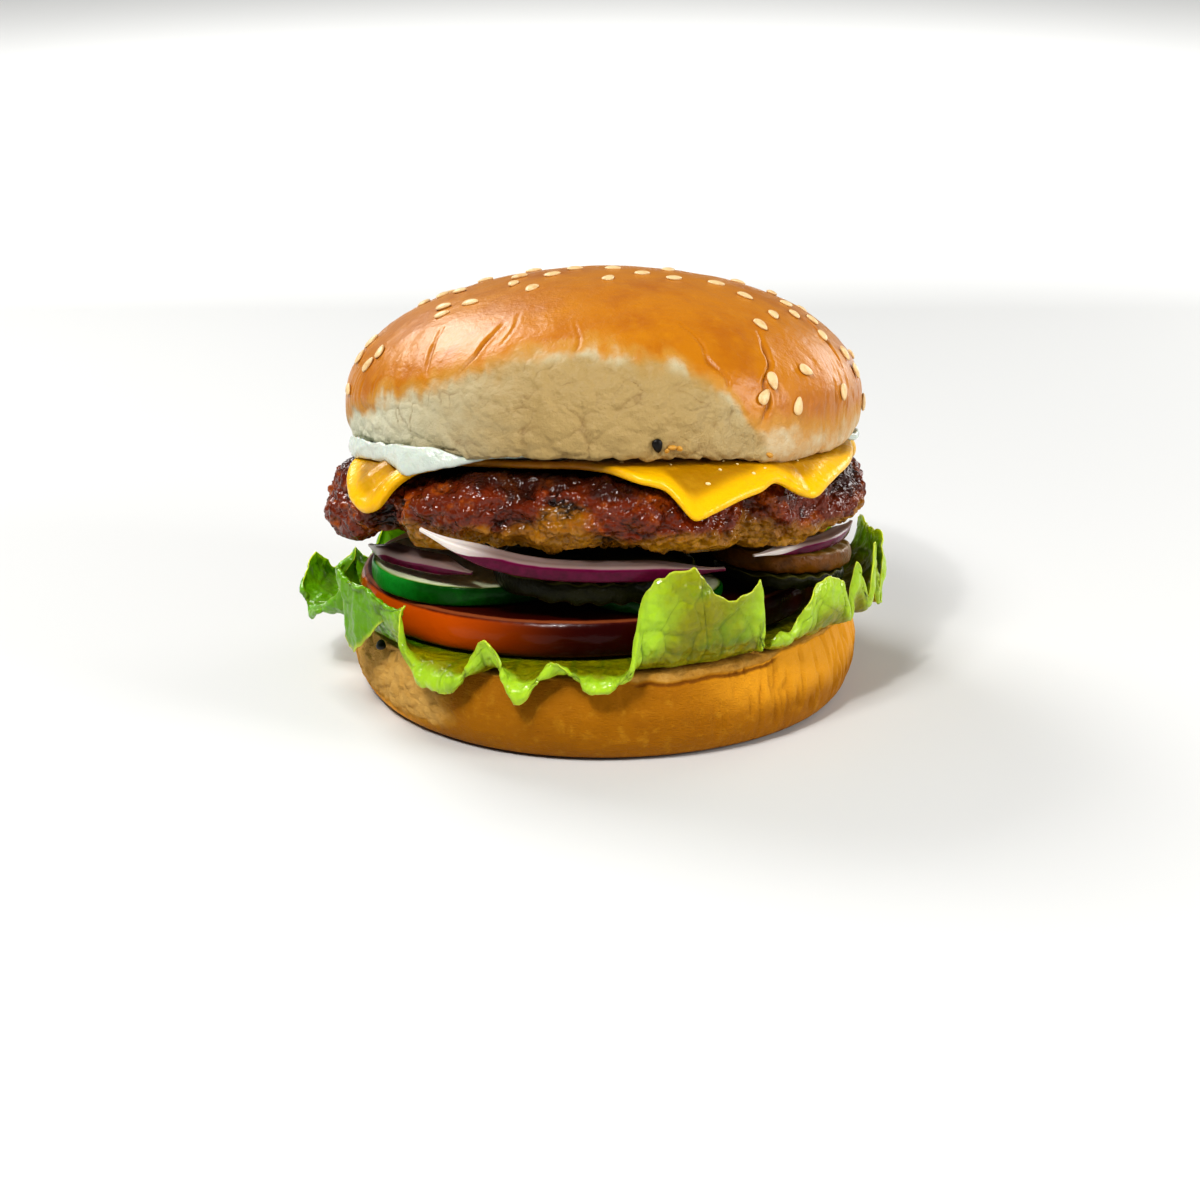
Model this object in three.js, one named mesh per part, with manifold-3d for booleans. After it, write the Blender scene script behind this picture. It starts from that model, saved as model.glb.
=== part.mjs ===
/**
 * A cheeseburger, stacked piece by piece from the heel of the bun to the crown.
 *
 * Millimetres, +Z up. The front faces -Y and +X is to its right. The origin is
 * the middle of the heel's flat foot. A bearing is an angle round the stack in
 * degrees: 0 is the front, 90 the right, -90 the left and 180 the back.
 *
 * The heel, leaves, tomato, cucumber, pickles and onion are modelled upright.
 * The patty and all that lies on it lean back together, in one turned group.
 */
import * as THREE from "three";
import { mergeVertices } from "three/addons/utils/BufferGeometryUtils.js";
import Module from "manifold-3d";

const wasm = await Module();
wasm.setup();

// ---------------------------------------------------------------- dimensions

/** Air between pieces that lie on each other. */
const GAP = 0.35;

/** Heel of the bun: a flat foot, a round side and a cut face that is higher in front. */
const HEEL = {
  footRadius: 45.8,
  widestRadius: 50.2,
  widestHeight: 8.2,
  cutRadius: 48.4,
  cutRounding: 1.3,
  cut: { height: 14.9, slopeX: 0.035, slopeY: -0.035 },
  unevenness: [
    [2, 0.45, 0.6],
    [3, 0.3, 2.1],
    [5, 0.2, 4.0],
  ],
  steps: 50,
};

/** Lettuce: two leaves that lie on the heel and ruffle out past its rim. */
const LEAF = {
  thickness: 0.75,
  innerRadius: 9,
  flatRadius: 45.5,
  bearingStep: 4.8,
  ruffleSteps: 5,
};

/** Front leaf's edge: bearing at the heel, bearing at the edge, reach, height. */
const FRONT_LEAF_EDGE = [
  [-138, -138, 51.2, 18.5],
  [-129, -128, 54.5, 26],
  [-120, -121, 56.5, 15],
  [-111, -110, 54.5, 20],
  [-104, -104, 56.0, 17.5],
  [-97, -98, 58.3, 22],
  [-92, -93, 59.6, 19],
  [-86, -87, 57.8, 12.4],
  [-80, -79, 54.0, 19],
  [-73, -70, 49.9, 31],
  [-69, -69, 54.0, 24],
  [-63, -64, 54.0, 13],
  [-56, -55, 53.0, 20],
  [-48, -44.5, 52.2, 26.5],
  [-43.5, -45, 52.8, 19.5],
  [-38, -38.5, 54.0, 12.4],
  [-31, -31, 54.0, 13],
  [-24, -24.5, 51.2, 23.7],
  [-17, -17, 54.3, 12.7],
  [-9, -9.5, 51.5, 20.8],
  [-1, -1, 53.8, 15],
  [4, 4.5, 53.0, 17.5],
  [8.5, 7.7, 51.2, 32.5],
  [17.5, 17.5, 52.0, 37.8],
  [23, 22, 51.6, 33],
  [28, 27.5, 51.4, 31.4],
  [32.5, 32.6, 52.0, 33],
  [35, 33.8, 51.2, 21],
];
/** Where the front leaf folds up over the tomato's left end before it hangs down. */
const FRONT_LEAF_CREST = { bearing: -62, width: 16, rise: 28 };

/** Right leaf's edge, in the same form; a loop carries its ruffles round the back. */
const RIGHT_LEAF_EDGE = [
  [37.5, 37.5, 50.2, 20.5],
  [44, 44, 50.5, 22],
  [49, 48.5, 51.0, 27.5],
  [53.5, 53.5, 51.6, 30.5],
  [59, 59, 52.3, 26],
  [62.5, 61.5, 52.5, 20.5],
  [66.5, 64, 53.0, 30.5],
  [71, 68.5, 53.8, 22],
  [75, 71, 54.0, 33],
  [80, 77, 54.6, 18.5],
  [85, 83, 54.6, 26],
  [91, 90, 53.6, 29.6],
  [99, 98, 53.2, 28.5],
];
const BACK_RUFFLES = {
  first: 107,
  spacing: 9.5,
  count: 12,
  reach: 54.8,
  reachSwing: 1.2,
  middleHeight: 21,
  heightSwing: 6.5,
};

/** Tomato: one thick slice on the leaves. */
const TOMATO = {
  x: -2.7,
  y: 1.8,
  radiusX: 45.7,
  radiusY: 45,
  bottom: { height: 16.6, slopeX: 0.035, slopeY: -0.035 },
  top: { height: 23.6, slopeX: 0.02, slopeY: -0.04 },
  edge: 2.0,
  steps: 44,
};

/** Round slices on the tomato: middle, radius, underside, top and edge rounding. */
const ROUND_SLICES = {
  cucumber_slice_left: {
    x: -23.2,
    y: -10.7,
    radius: 21.9,
    bottom: { height: 23.95, slopeX: 0.02, slopeY: -0.04 },
    top: { height: 26.6, slopeX: -0.01, slopeY: -0.045 },
    edge: 0.5,
    colour: 0x2f6d1f,
  },
  cucumber_slice_middle: {
    x: 9.2,
    y: -27,
    radius: 12.9,
    bottom: { height: 23.95, slopeX: 0.02, slopeY: -0.04 },
    top: { height: 26.3, slopeX: 0.01, slopeY: -0.045 },
    edge: 0.4,
    colour: 0x2f6d1f,
  },
  cucumber_slice_back: {
    x: 14,
    y: 17,
    radius: 19.8,
    bottom: { height: 23.95, slopeX: 0.02, slopeY: -0.04 },
    top: { height: 27.5, slopeX: 0, slopeY: -0.1 },
    edge: 0.5,
    colour: 0x2f6d1f,
  },
  pickle_slice_middle: {
    x: -1.7,
    y: -26,
    radius: 19.1,
    bottom: { height: 27.0, slopeX: -0.01, slopeY: -0.046 },
    top: { height: 31.0, slopeX: -0.01, slopeY: -0.046 },
    edge: 1.0,
    colour: 0x4d4f1d,
  },
  pickle_slice_lower: {
    x: 33.2,
    y: -17.6,
    radius: 12.6,
    bottom: { height: 26.15, slopeX: -0.045, slopeY: -0.09 },
    top: { height: 28.55, slopeX: -0.045, slopeY: -0.09 },
    edge: 0.7,
    colour: 0x4d4f1d,
  },
  pickle_slice_upper: {
    x: 33.5,
    y: -15.2,
    radius: 13.8,
    bottom: { height: 28.85, slopeX: -0.045, slopeY: -0.09 },
    top: { height: 32.4, slopeX: -0.045, slopeY: -0.1 },
    edge: 0.9,
    colour: 0x7a6a25,
  },
};
const ROUND_SLICE_STEPS = 30;

/** Red onion: strips of ring, each on a path through a few points of its outer wall. */
const ONIONS = {
  onion_strip_front: {
    path: [
      [-33.4, -42.0, 42.6],
      [-26, -44.5, 39.4],
      [-18, -45.8, 37.0],
      [-8, -46.0, 35.5],
      [4, -45.6, 35.2],
      [14, -44.2, 35.1],
      [22, -41.4, 34.9],
    ],
    height: 2.7,
    width: 4.0,
    rise: 0.1,
    steps: 24,
  },
  onion_strip_left: {
    path: [
      [-45.6, -10, 29.6],
      [-42.6, -18.5, 30.6],
      [-37.4, -25.2, 31.2],
      [-31, -30.6, 31.6],
      [-24.6, -34.6, 31.9],
    ],
    height: 2.6,
    width: 3.4,
    rise: 0.3,
    steps: 18,
  },
  onion_strip_right: {
    path: [
      [27.6, -34.6, 35.3],
      [34.0, -30.6, 35.0],
      [39.6, -26.0, 34.4],
      [43.8, -20.2, 33.9],
      [46.6, -13.6, 33.5],
      [48.2, -7.5, 33.7],
    ],
    height: 1.8,
    width: 2.8,
    rise: 0.1,
    steps: 18,
  },
};

/** Lean of the patty and all that is on it, back and to the left, its shift to the right and its height. */
const LEAN = { back: 9.5, left: 0.9, shift: 0.6, height: 30.8 };

/** Beef patty: a thick disc with a round side, lobes and deep cracks between them. */
const PATTY = {
  radius: 51.6,
  thickness: 15.4,
  sideDepth: 9.0,
  leftLobe: { bearing: -84, width: 40, reach: 4.6 },
  /** Lobes whose sides hang lower: bearing, half width and drop. */
  sags: [
    [-80, 36, 2.0],
    [50, 26, 1.7],
    [8, 18, 0.6],
  ],
  cracks: [
    [-56, 6, 3.2],
    [-20, 6, 1.4],
    [33, 7, 3.6],
    [78, 7, 1.8],
    [118, 7, 2.6],
    [152, 6, 1.6],
    [196, 7, 2.4],
    [236, 6, 1.8],
  ],
  relief: 1.3,
  steps: 56,
};

/** Cheese: a square slice that bends down over the patty's side at its corners. */
const CHEESE = {
  thickness: 1.5,
  bendStart: 43.6,
  bendRadius: 11.5,
  /** Bearing and the length that goes past the start of the bend. */
  overhang: [
    [-110, 2],
    [-84, 1],
    [-76, 3],
    [-69, 8.2],
    [-62.5, 11.8],
    [-57, 14.3],
    [-53, 15.2],
    [-49.5, 14.2],
    [-47, 9.5],
    [-44.5, 6.2],
    [-41, 4.5],
    [-37, 0.6],
    [-24, 0],
    [-11, 0.2],
    [-1.5, 3],
    [6.5, 7.4],
    [11, 9],
    [16.5, 15],
    [20, 14],
    [26, 12],
    [31, 10.8],
    [35.5, 9.2],
    [40, 12],
    [43, 12.9],
    [49, 11],
    [54.5, 9.4],
    [62, 7.8],
    [72, 5.5],
    [84, 4],
    [98, 4.5],
    [116, 13],
    [130, 7],
    [160, 2],
    [188, 6],
    [205, 14],
    [222, 5],
  ],
  bearingStep: 7,
};

/** Mayonnaise: a thin layer under the crown, pressed out at the left and a little at the right. */
const MAYO = {
  /** Bearing and reach of its edge. */
  edge: [
    [-100, 38],
    [-86, 45],
    [-78, 50],
    [-68, 51],
    [-58, 51.6],
    [-50, 52.4],
    [-42, 51.4],
    [-34, 48],
    [-24, 46],
    [-12, 44],
    [10, 43],
    [60, 42],
    [76, 45.5],
    [84, 49.4],
    [92, 48.4],
    [104, 43],
    [150, 41],
    [200, 42],
    [240, 39],
  ],
  /** Air under it, above the smooth bend of the cheese. */
  lift: 0.6,
  undersideShares: [0.82, 0.88, 0.94],
  rounding: 0.9,
  steps: 44,
};

/** Crown of the bun: a dome on a low round rim, torn open along its front. */
const CROWN = {
  radius: 50.7,
  baseRadius: 47.8,
  rimHeight: 7,
  rimDrop: 0.35,
  domeHeight: 24.9,
  unevenness: [
    [2, 0.35, 1.2],
    [3, 0.3, 0.2],
    [5, 0.15, 3.1],
  ],
  tearDepth: 1.0,
  /** Bearing and height of the upper edge of the torn patch. */
  tearEdge: [
    [-74, 0],
    [-66, 6],
    [-50, 11.5],
    [-34, 15.5],
    [-17, 18.5],
    [2, 18.5],
    [16, 14.5],
    [26, 8],
    [34, 0],
  ],
  /** Where the rim hangs lower over the bent cheese. */
  rimSag: { bearing: 42, width: 34, drop: 1.35 },
  steps: 46,
  domeRings: 9,
};

/** Sesame seeds, fused to the crown. */
const SEED = {
  length: 3.3,
  width: 2.0,
  height: 1.0,
  sunk: 0.35,
  sides: 5,
};

/** Seeds round the torn front: bearing, slant from the rim up to the top, and turn from level to downhill. */
const FRONT_SEEDS = [
  [-61, 47, -31],
  [-55, 43, -45],
  [-50, 50, -20],
  [-76, 56, -42],
  [-86, 52, 40],
  [-96, 63, 84],
  [-48, 63, 58],
  [-62, 69, 97],
  [-32, 60, 85],
  [-38, 72, -63],
  [3, 68, -59],
  [28, 72, 0],
  [40, 66, 15],
  [12, 80, 16],
  [-38, 80, -33],
  [64, 74, 21],
  [54, 40, 128],
  [44, 36, 90],
  [74, 44, 27],
  [66, 39, 130],
  [67, 28, 138],
  [48, 15, 28],
  [37, 12, 90],
  [34, 6, -49],
  [43, 1, -76],
  [61, 4, 106],
  [83, -14, 96],
  [73, 19, 119],
  [75, 11, 90],
  [-66, 24, -117],
  [-68, 18, -61],
  [-76, 6, 27],
  [-81, 27, -90],
  [-79, 20, -112],
  [-88, 47, -145],
  [57, 60, 41],
  [56, 51, 90],
  [74, 35, 125],
];
const BACK_SEEDS = { count: 24, firstBearing: 92, lastBearing: 262, lowestSlant: 16, spacing: 7.2 };

// ------------------------------------------------------------------- helpers

const radians = (degrees) => (degrees * Math.PI) / 180;
const degrees = (angle) => (angle * 180) / Math.PI;

/** Height of a sloping plane above a point. */
function heightOn(plane, x, y) {
  return plane.height + plane.slopeX * x + plane.slopeY * y;
}

/** Point at a bearing, a distance from the middle and a height. */
function pointAt(bearing, reach, height) {
  const angle = radians(bearing);
  return new THREE.Vector3(reach * Math.sin(angle), -reach * Math.cos(angle), height);
}

/** Sum of sine waves round the stack, each given as count, size and phase. */
function waves(bearing, terms) {
  const angle = radians(bearing);
  return terms.reduce((sum, [count, size, phase]) => sum + size * Math.sin(count * angle + phase), 0);
}

/** Smooth hump: 1 at its bearing, 0 further off than its width. */
function hump(bearing, middle, width) {
  const away = THREE.MathUtils.euclideanModulo(bearing - middle + 180, 360) - 180;
  return Math.abs(away) < width ? 0.5 + 0.5 * Math.cos((Math.PI * away) / width) : 0;
}

/** Slope at each knot that keeps the curve between knots from overshooting. */
function knotSlopes(knots, column) {
  return knots.map((knot, i) => {
    if (i === 0 || i === knots.length - 1) return 0;
    const before = (knot[column] - knots[i - 1][column]) / (knot[0] - knots[i - 1][0]);
    const after = (knots[i + 1][column] - knot[column]) / (knots[i + 1][0] - knot[0]);
    return before * after <= 0 ? 0 : (2 * before * after) / (before + after);
  });
}

/** Smooth curve through knots: the value of one column at a position of the first. */
function curveThrough(knots, column) {
  const slopes = knotSlopes(knots, column);
  return (position) => {
    const last = knots.length - 1;
    if (position <= knots[0][0]) return knots[0][column];
    if (position >= knots[last][0]) return knots[last][column];
    const i = knots.findIndex((knot) => knot[0] > position) - 1;
    const span = knots[i + 1][0] - knots[i][0];
    const t = (position - knots[i][0]) / span;
    const start = knots[i][column] * (1 + 2 * t) * (1 - t) ** 2 + slopes[i] * span * t * (1 - t) ** 2;
    const end = knots[i + 1][column] * t * t * (3 - 2 * t) + slopes[i + 1] * span * t * t * (t - 1);
    return start + end;
  };
}

/** Knots with the first one again after a full turn. */
function closedRound(knots) {
  return [...knots, [knots[0][0] + 360, ...knots[0].slice(1)]];
}

/** Smooth curve through knots that close on themselves, for any bearing. */
function curveRound(knots, column) {
  const curve = curveThrough(closedRound(knots), column);
  return (bearing) => curve(knots[0][0] + THREE.MathUtils.euclideanModulo(bearing - knots[0][0], 360));
}

/** Geometry from points and triangles, turned so that its faces point out. */
function geometryOf(points, triangles) {
  let volume = 0;
  for (const [a, b, c] of triangles) volume += points[a].dot(points[b].clone().cross(points[c]));
  const faces = volume < 0 ? triangles.map(([a, b, c]) => [a, c, b]) : triangles;
  const geometry = new THREE.BufferGeometry();
  geometry.setAttribute(
    "position",
    new THREE.Float32BufferAttribute(points.flatMap((point) => point.toArray()), 3),
  );
  geometry.setIndex(faces.flat());
  return geometry;
}

/** Closed body from rings of points, with a point that closes each end. */
function bodyOfRings(firstMiddle, rings, lastMiddle) {
  const count = rings[0].length;
  const points = [firstMiddle, ...rings.flat(), lastMiddle];
  const at = (ring, step) => 1 + ring * count + (step % count);
  const triangles = [];
  for (let step = 0; step < count; step += 1) {
    triangles.push([0, at(0, step + 1), at(0, step)]);
    triangles.push([points.length - 1, at(rings.length - 1, step), at(rings.length - 1, step + 1)]);
    for (let ring = 0; ring < rings.length - 1; ring += 1) {
      triangles.push([at(ring, step), at(ring, step + 1), at(ring + 1, step + 1)]);
      triangles.push([at(ring, step), at(ring + 1, step + 1), at(ring + 1, step)]);
    }
  }
  return geometryOf(points, triangles);
}

/** Ring of points at even bearings. */
function ringOf(steps, pointOn) {
  return Array.from({ length: steps }, (_, step) => pointOn((step * 360) / steps));
}

/** Positions of all knots and of even parts between them, at least so many a span; the last is left out. */
function positionsThrough(knots, largestStep, fewestParts) {
  return knots.slice(0, -1).flatMap(([start], i) => {
    const span = knots[i + 1][0] - start;
    const parts = Math.max(fewestParts, Math.ceil(span / largestStep));
    return Array.from({ length: parts }, (_, part) => start + (span * part) / parts);
  });
}

/** Thin closed sheet round a grid of points; both its faces have the same triangles. */
function sheetOf(grid, thickness) {
  const rows = grid.length;
  const columns = grid[0].length;
  const normalAt = (row, column) => {
    const along = grid[Math.min(row + 1, rows - 1)][column].clone().sub(grid[Math.max(row - 1, 0)][column]);
    const across = grid[row][Math.min(column + 1, columns - 1)].clone().sub(grid[row][Math.max(column - 1, 0)]);
    return along.cross(across).normalize();
  };
  const face = (side) =>
    grid.flatMap((points, row) =>
      points.map((point, column) => point.clone().addScaledVector(normalAt(row, column), (side * thickness) / 2)),
    );
  const points = [...face(1), ...face(-1)];
  const upper = (row, column) => row * columns + column;
  const lower = (row, column) => rows * columns + upper(row, column);
  const triangles = [];
  for (let row = 0; row < rows - 1; row += 1) {
    for (let column = 0; column < columns - 1; column += 1) {
      const corners = [
        [row, column],
        [row + 1, column],
        [row + 1, column + 1],
        [row, column + 1],
      ];
      const [a, b, c, d] = corners.map((corner) => upper(...corner));
      const [e, f, g, h] = corners.map((corner) => lower(...corner));
      triangles.push([a, b, c], [a, c, d], [e, g, f], [e, h, g]);
    }
  }
  const border = [];
  for (let row = 0; row < rows - 1; row += 1) border.push([row, 0]);
  for (let column = 0; column < columns - 1; column += 1) border.push([rows - 1, column]);
  for (let row = rows - 1; row > 0; row -= 1) border.push([row, columns - 1]);
  for (let column = columns - 1; column > 0; column -= 1) border.push([0, column]);
  border.forEach((spot, i) => {
    const next = border[(i + 1) % border.length];
    triangles.push([upper(...next), upper(...spot), lower(...spot)]);
    triangles.push([upper(...next), lower(...spot), lower(...next)]);
  });
  return geometryOf(points, triangles);
}

/** Disc between two surfaces: each profile pair is an inset and a level from 0, the underside, to 1. */
function discOf({ steps, reachAt, middle, undersideAt, topAt, profile, undersideShares = [] }) {
  const pointOn = (bearing, share, inset, level) => {
    const reach = reachAt(bearing) - inset;
    const flat = pointAt(bearing, reach * share, 0).add(middle);
    const underside = undersideAt(flat.x, flat.y);
    flat.z = underside + level * (topAt(flat.x, flat.y) - underside);
    return flat;
  };
  const [firstInset] = profile[0];
  const rings = [
    ...undersideShares.map((share) => ringOf(steps, (bearing) => pointOn(bearing, share, firstInset, 0))),
    ...profile.map(([inset, level]) => ringOf(steps, (bearing) => pointOn(bearing, 1, inset, level))),
  ];
  return bodyOfRings(pointOn(0, 0, 0, 0), rings, pointOn(0, 0, 0, 1));
}

/** Round edge for discOf: an inset that falls from the edge size to nothing and back. */
function roundEdge(edge, points) {
  return Array.from({ length: points }, (_, i) => {
    const level = i / (points - 1);
    const angle = Math.PI * (level - 0.5);
    return [edge * (1 - Math.cos(angle)), 0.5 + 0.5 * Math.sin(angle)];
  });
}

/** Solid of a geometry, for joining. */
function solidOf(geometry) {
  const merged = mergeVertices(geometry, 1e-4);
  return new wasm.Manifold(
    new wasm.Mesh({
      numProp: 3,
      vertProperties: new Float32Array(merged.getAttribute("position").array),
      triVerts: new Uint32Array(merged.index.array),
    }),
  );
}

/** Geometry of a joined solid. */
function geometryOfSolid(solid) {
  const mesh = solid.getMesh();
  const geometry = new THREE.BufferGeometry();
  geometry.setAttribute("position", new THREE.BufferAttribute(mesh.vertProperties, 3));
  geometry.setIndex(new THREE.BufferAttribute(mesh.triVerts, 1));
  return geometry;
}

/** Named mesh of a geometry. */
function pieceOf(name, geometry, colour, roughness) {
  const material = new THREE.MeshStandardMaterial({ color: colour, roughness, metalness: 0 });
  const mesh = new THREE.Mesh(geometry, material);
  mesh.name = name;
  return mesh;
}

// -------------------------------------------------------------------- pieces

/** Heel of the bun. */
function heelBun() {
  const cutAt = (bearing, reach) => {
    const point = pointAt(bearing, reach, 0);
    return heightOn(HEEL.cut, point.x, point.y);
  };
  const { footRadius, widestRadius, widestHeight, cutRadius, cutRounding } = HEEL;
  const pointOn = (reach, heightAt) => (bearing) => {
    const uneven = waves(bearing, HEEL.unevenness) * (reach / widestRadius) ** 2;
    return pointAt(bearing, reach + uneven, heightAt(bearing));
  };
  const lower = [0, 30, 60, 90].map((angle) => {
    const reach = footRadius + (widestRadius - footRadius) * Math.sin(radians(angle));
    const height = widestHeight * (1 - Math.cos(radians(angle)));
    return pointOn(reach, () => height);
  });
  const shoulder = (bearing) => cutAt(bearing, cutRadius) - cutRounding;
  const middleRadius = (widestRadius + cutRadius) / 2 + 0.3;
  const upper = [
    pointOn(middleRadius, (bearing) => (widestHeight + shoulder(bearing)) / 2),
    pointOn(cutRadius, shoulder),
    pointOn(cutRadius - cutRounding, (bearing) => cutAt(bearing, cutRadius - cutRounding)),
  ];
  const rings = [...lower, ...upper].map((pointAtBearing) => ringOf(HEEL.steps, pointAtBearing));
  const middleTop = new THREE.Vector3(0, 0, HEEL.cut.height);
  return pieceOf("heel_bun", bodyOfRings(new THREE.Vector3(), rings, middleTop), 0xd08a2a, 0.6);
}

/** Lettuce leaf from its table of edge points. */
function leaf(name, edge, crest = { bearing: 0, width: 1, rise: 0 }) {
  const edgeBearingAt = curveThrough(edge, 1);
  const reachAt = curveThrough(edge, 2);
  const heightAt = curveThrough(edge, 3);
  const lift = GAP + LEAF.thickness / 2;
  const bearings = [...positionsThrough(edge, LEAF.bearingStep, 2), edge[edge.length - 1][0]];
  const flatPoint = (bearing, reach) => {
    const point = pointAt(bearing, reach, 0);
    point.z = heightOn(HEEL.cut, point.x, point.y) + lift;
    return point;
  };
  const grid = bearings.map((bearing) => {
    const row = [flatPoint(bearing, LEAF.innerRadius), flatPoint(bearing, 30)];
    const base = flatPoint(bearing, LEAF.flatRadius).z;
    const reach = reachAt(bearing);
    const height = heightAt(bearing);
    const shoulder = base + 1.1;
    const fold = crest.rise * hump(bearing, crest.bearing, crest.width);
    const profile = new THREE.CubicBezierCurve(
      new THREE.Vector2(LEAF.flatRadius, base),
      new THREE.Vector2(Math.max(reach - 0.4, 49.5), shoulder),
      new THREE.Vector2(reach + 0.9, (shoulder + height) / 2 + fold),
      new THREE.Vector2(reach, height),
    );
    for (let step = 0; step <= LEAF.ruffleSteps; step += 1) {
      const t = step / LEAF.ruffleSteps;
      const { x, y } = profile.getPoint(t);
      const turned = bearing + (edgeBearingAt(bearing) - bearing) * t * t;
      row.push(pointAt(turned, x, y));
    }
    return row;
  });
  return pieceOf(name, sheetOf(grid, LEAF.thickness), 0x8dbb2c, 0.45);
}

/** Right leaf's edge with the ruffles that go on round the back. */
function rightLeafEdge() {
  const back = Array.from({ length: BACK_RUFFLES.count }, (_, i) => {
    const bearing = BACK_RUFFLES.first + i * BACK_RUFFLES.spacing;
    const side = i % 2 === 0 ? 1 : -1;
    const drift = Math.sin(1.7 * i);
    const reach = BACK_RUFFLES.reach - side * BACK_RUFFLES.reachSwing + 0.8 * drift;
    const height = BACK_RUFFLES.middleHeight + side * BACK_RUFFLES.heightSwing + 1.6 * drift;
    return [bearing, bearing + 1.5 * drift, reach, height];
  });
  return [...RIGHT_LEAF_EDGE, ...back];
}

/** Tomato slice. */
function tomatoSlice() {
  const { x, y, radiusX, radiusY, bottom, top, edge, steps } = TOMATO;
  const geometry = discOf({
    steps,
    middle: new THREE.Vector3(x, y, 0),
    reachAt: (bearing) => {
      const angle = radians(bearing);
      return 1 / Math.hypot(Math.sin(angle) / radiusX, Math.cos(angle) / radiusY);
    },
    undersideAt: (px, py) => heightOn(bottom, px, py),
    topAt: (px, py) => heightOn(top, px, py),
    profile: roundEdge(edge, 5),
  });
  return pieceOf("tomato_slice", geometry, 0xb33415, 0.3);
}

/** Round slice of cucumber or pickle. */
function roundSlice(name, { x, y, radius, bottom, top, edge, colour }) {
  const geometry = discOf({
    steps: ROUND_SLICE_STEPS,
    middle: new THREE.Vector3(x, y, 0),
    reachAt: (bearing) => radius * (1 + 0.012 * Math.sin(3 * radians(bearing) + x)),
    undersideAt: (px, py) => heightOn(bottom, px, py),
    topAt: (px, py) => heightOn(top, px, py),
    profile: roundEdge(edge, 4),
  });
  return pieceOf(name, geometry, colour, 0.35);
}

/** Strip of onion: a curved wall with a cut face that rises inwards. */
function onionStrip(name, { path, height, width, rise, steps }) {
  const curve = new THREE.CatmullRomCurve3(path.map((point) => new THREE.Vector3(...point)));
  const up = new THREE.Vector3(0, 0, 1);
  const rings = Array.from({ length: steps + 1 }, (_, step) => {
    const t = step / steps;
    const middle = curve.getPoint(t);
    const inwards = up.clone().cross(curve.getTangent(t)).normalize();
    const size = 0.2 + 0.8 * THREE.MathUtils.smoothstep(Math.min(t, 1 - t), 0, 0.28);
    const section = [
      [0, -height / 2],
      [-0.35, 0],
      [0, height / 2],
      [width * 0.5, height / 2 + rise * 0.6],
      [width, height / 2 + rise],
      [width * 0.8, -height / 2 + rise],
    ];
    return section.map(([across, above]) =>
      middle.clone().addScaledVector(inwards, across * size).addScaledVector(up, above * size),
    );
  });
  const middleOf = (ring) =>
    ring.reduce((sum, point) => sum.add(point), new THREE.Vector3()).divideScalar(ring.length);
  const geometry = bodyOfRings(middleOf(rings[0]), rings, middleOf(rings[steps]));
  return pieceOf(name, geometry, 0x7a2c4a, 0.3);
}

/** Patty's outline without its relief. */
function pattyReach(bearing) {
  const { bearing: middle, width, reach } = PATTY.leftLobe;
  const cracks = PATTY.cracks.reduce((sum, [at, half, depth]) => sum + depth * hump(bearing, at, half), 0);
  return PATTY.radius + reach * hump(bearing, middle, width) + 0.5 * waves(bearing, [[6, 1, 0.7]]) - cracks;
}

/** How far the patty's side hangs down at a bearing, by an angle from -90 underneath to 90 on top. */
function pattySag(bearing, angle) {
  const drop = PATTY.sags.reduce((sum, [at, half, size]) => sum + size * hump(bearing, at, half), 0);
  return drop * Math.max(0, Math.cos(radians(angle) * 0.8 + 0.35)) * Math.cos(radians(angle)) ** 0.5;
}

/** How far the patty's skin is sunk below its smooth form at a point. */
function pattyRelief(x, y, z) {
  const lumps = Math.sin(0.47 * x + 1.2 * Math.sin(0.31 * y)) * Math.sin(0.51 * y + 0.9 * Math.sin(0.37 * x));
  return PATTY.relief * (0.5 + 0.5 * lumps * Math.cos(0.35 * z + 0.2 * x));
}

/** Beef patty. */
function beefPatty() {
  const { thickness, sideDepth, steps } = PATTY;
  const pointOn = (share, angle) => (bearing) => {
    const reach = pattyReach(bearing) - sideDepth + sideDepth * Math.cos(radians(angle));
    const height = (thickness / 2) * (1 + Math.sin(radians(angle))) - pattySag(bearing, angle);
    const point = pointAt(bearing, reach * share, height);
    const sunk = pattyRelief(point.x, point.y, point.z);
    const outwards = pointAt(bearing, Math.cos(radians(angle)), Math.sin(radians(angle)));
    return point.addScaledVector(outwards, -sunk);
  };
  const rings = [
    pointOn(0.55, -90),
    ...[-90, -60, -34, -11, 11, 34, 60, 90].map((angle) => pointOn(1, angle)),
    pointOn(0.55, 90),
  ].map((pointAtBearing) => ringOf(steps, pointAtBearing));
  const middle = (height) => new THREE.Vector3(0, 0, height);
  return pieceOf("beef_patty", bodyOfRings(middle(0.6), rings, middle(thickness - 0.6)), 0x5a2a17, 0.55);
}

const cheeseOverhangAt = curveRound(CHEESE.overhang, 1);
const CHEESE_UNDERSIDE = PATTY.thickness + GAP;
const CHEESE_TOP = CHEESE_UNDERSIDE + CHEESE.thickness;

/** Point of the cheese: a length from its middle, along the slice, on its underside or its top. */
function cheesePoint(bearing, length, depth) {
  const past = Math.max(0, length - CHEESE.bendStart);
  const angle = past / CHEESE.bendRadius;
  const radius = CHEESE.bendRadius + depth;
  const reach = Math.min(length, CHEESE.bendStart) + radius * Math.sin(angle);
  return pointAt(bearing, reach, CHEESE_UNDERSIDE + depth - radius * (1 - Math.cos(angle)));
}

/** Height of the cheese's top at a distance from its middle. */
function cheeseTopAt(reach) {
  const radius = CHEESE.bendRadius + CHEESE.thickness;
  const past = Math.min(Math.max(0, reach - CHEESE.bendStart), radius * 0.97);
  return CHEESE_TOP - radius + Math.sqrt(radius ** 2 - past ** 2);
}

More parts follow.
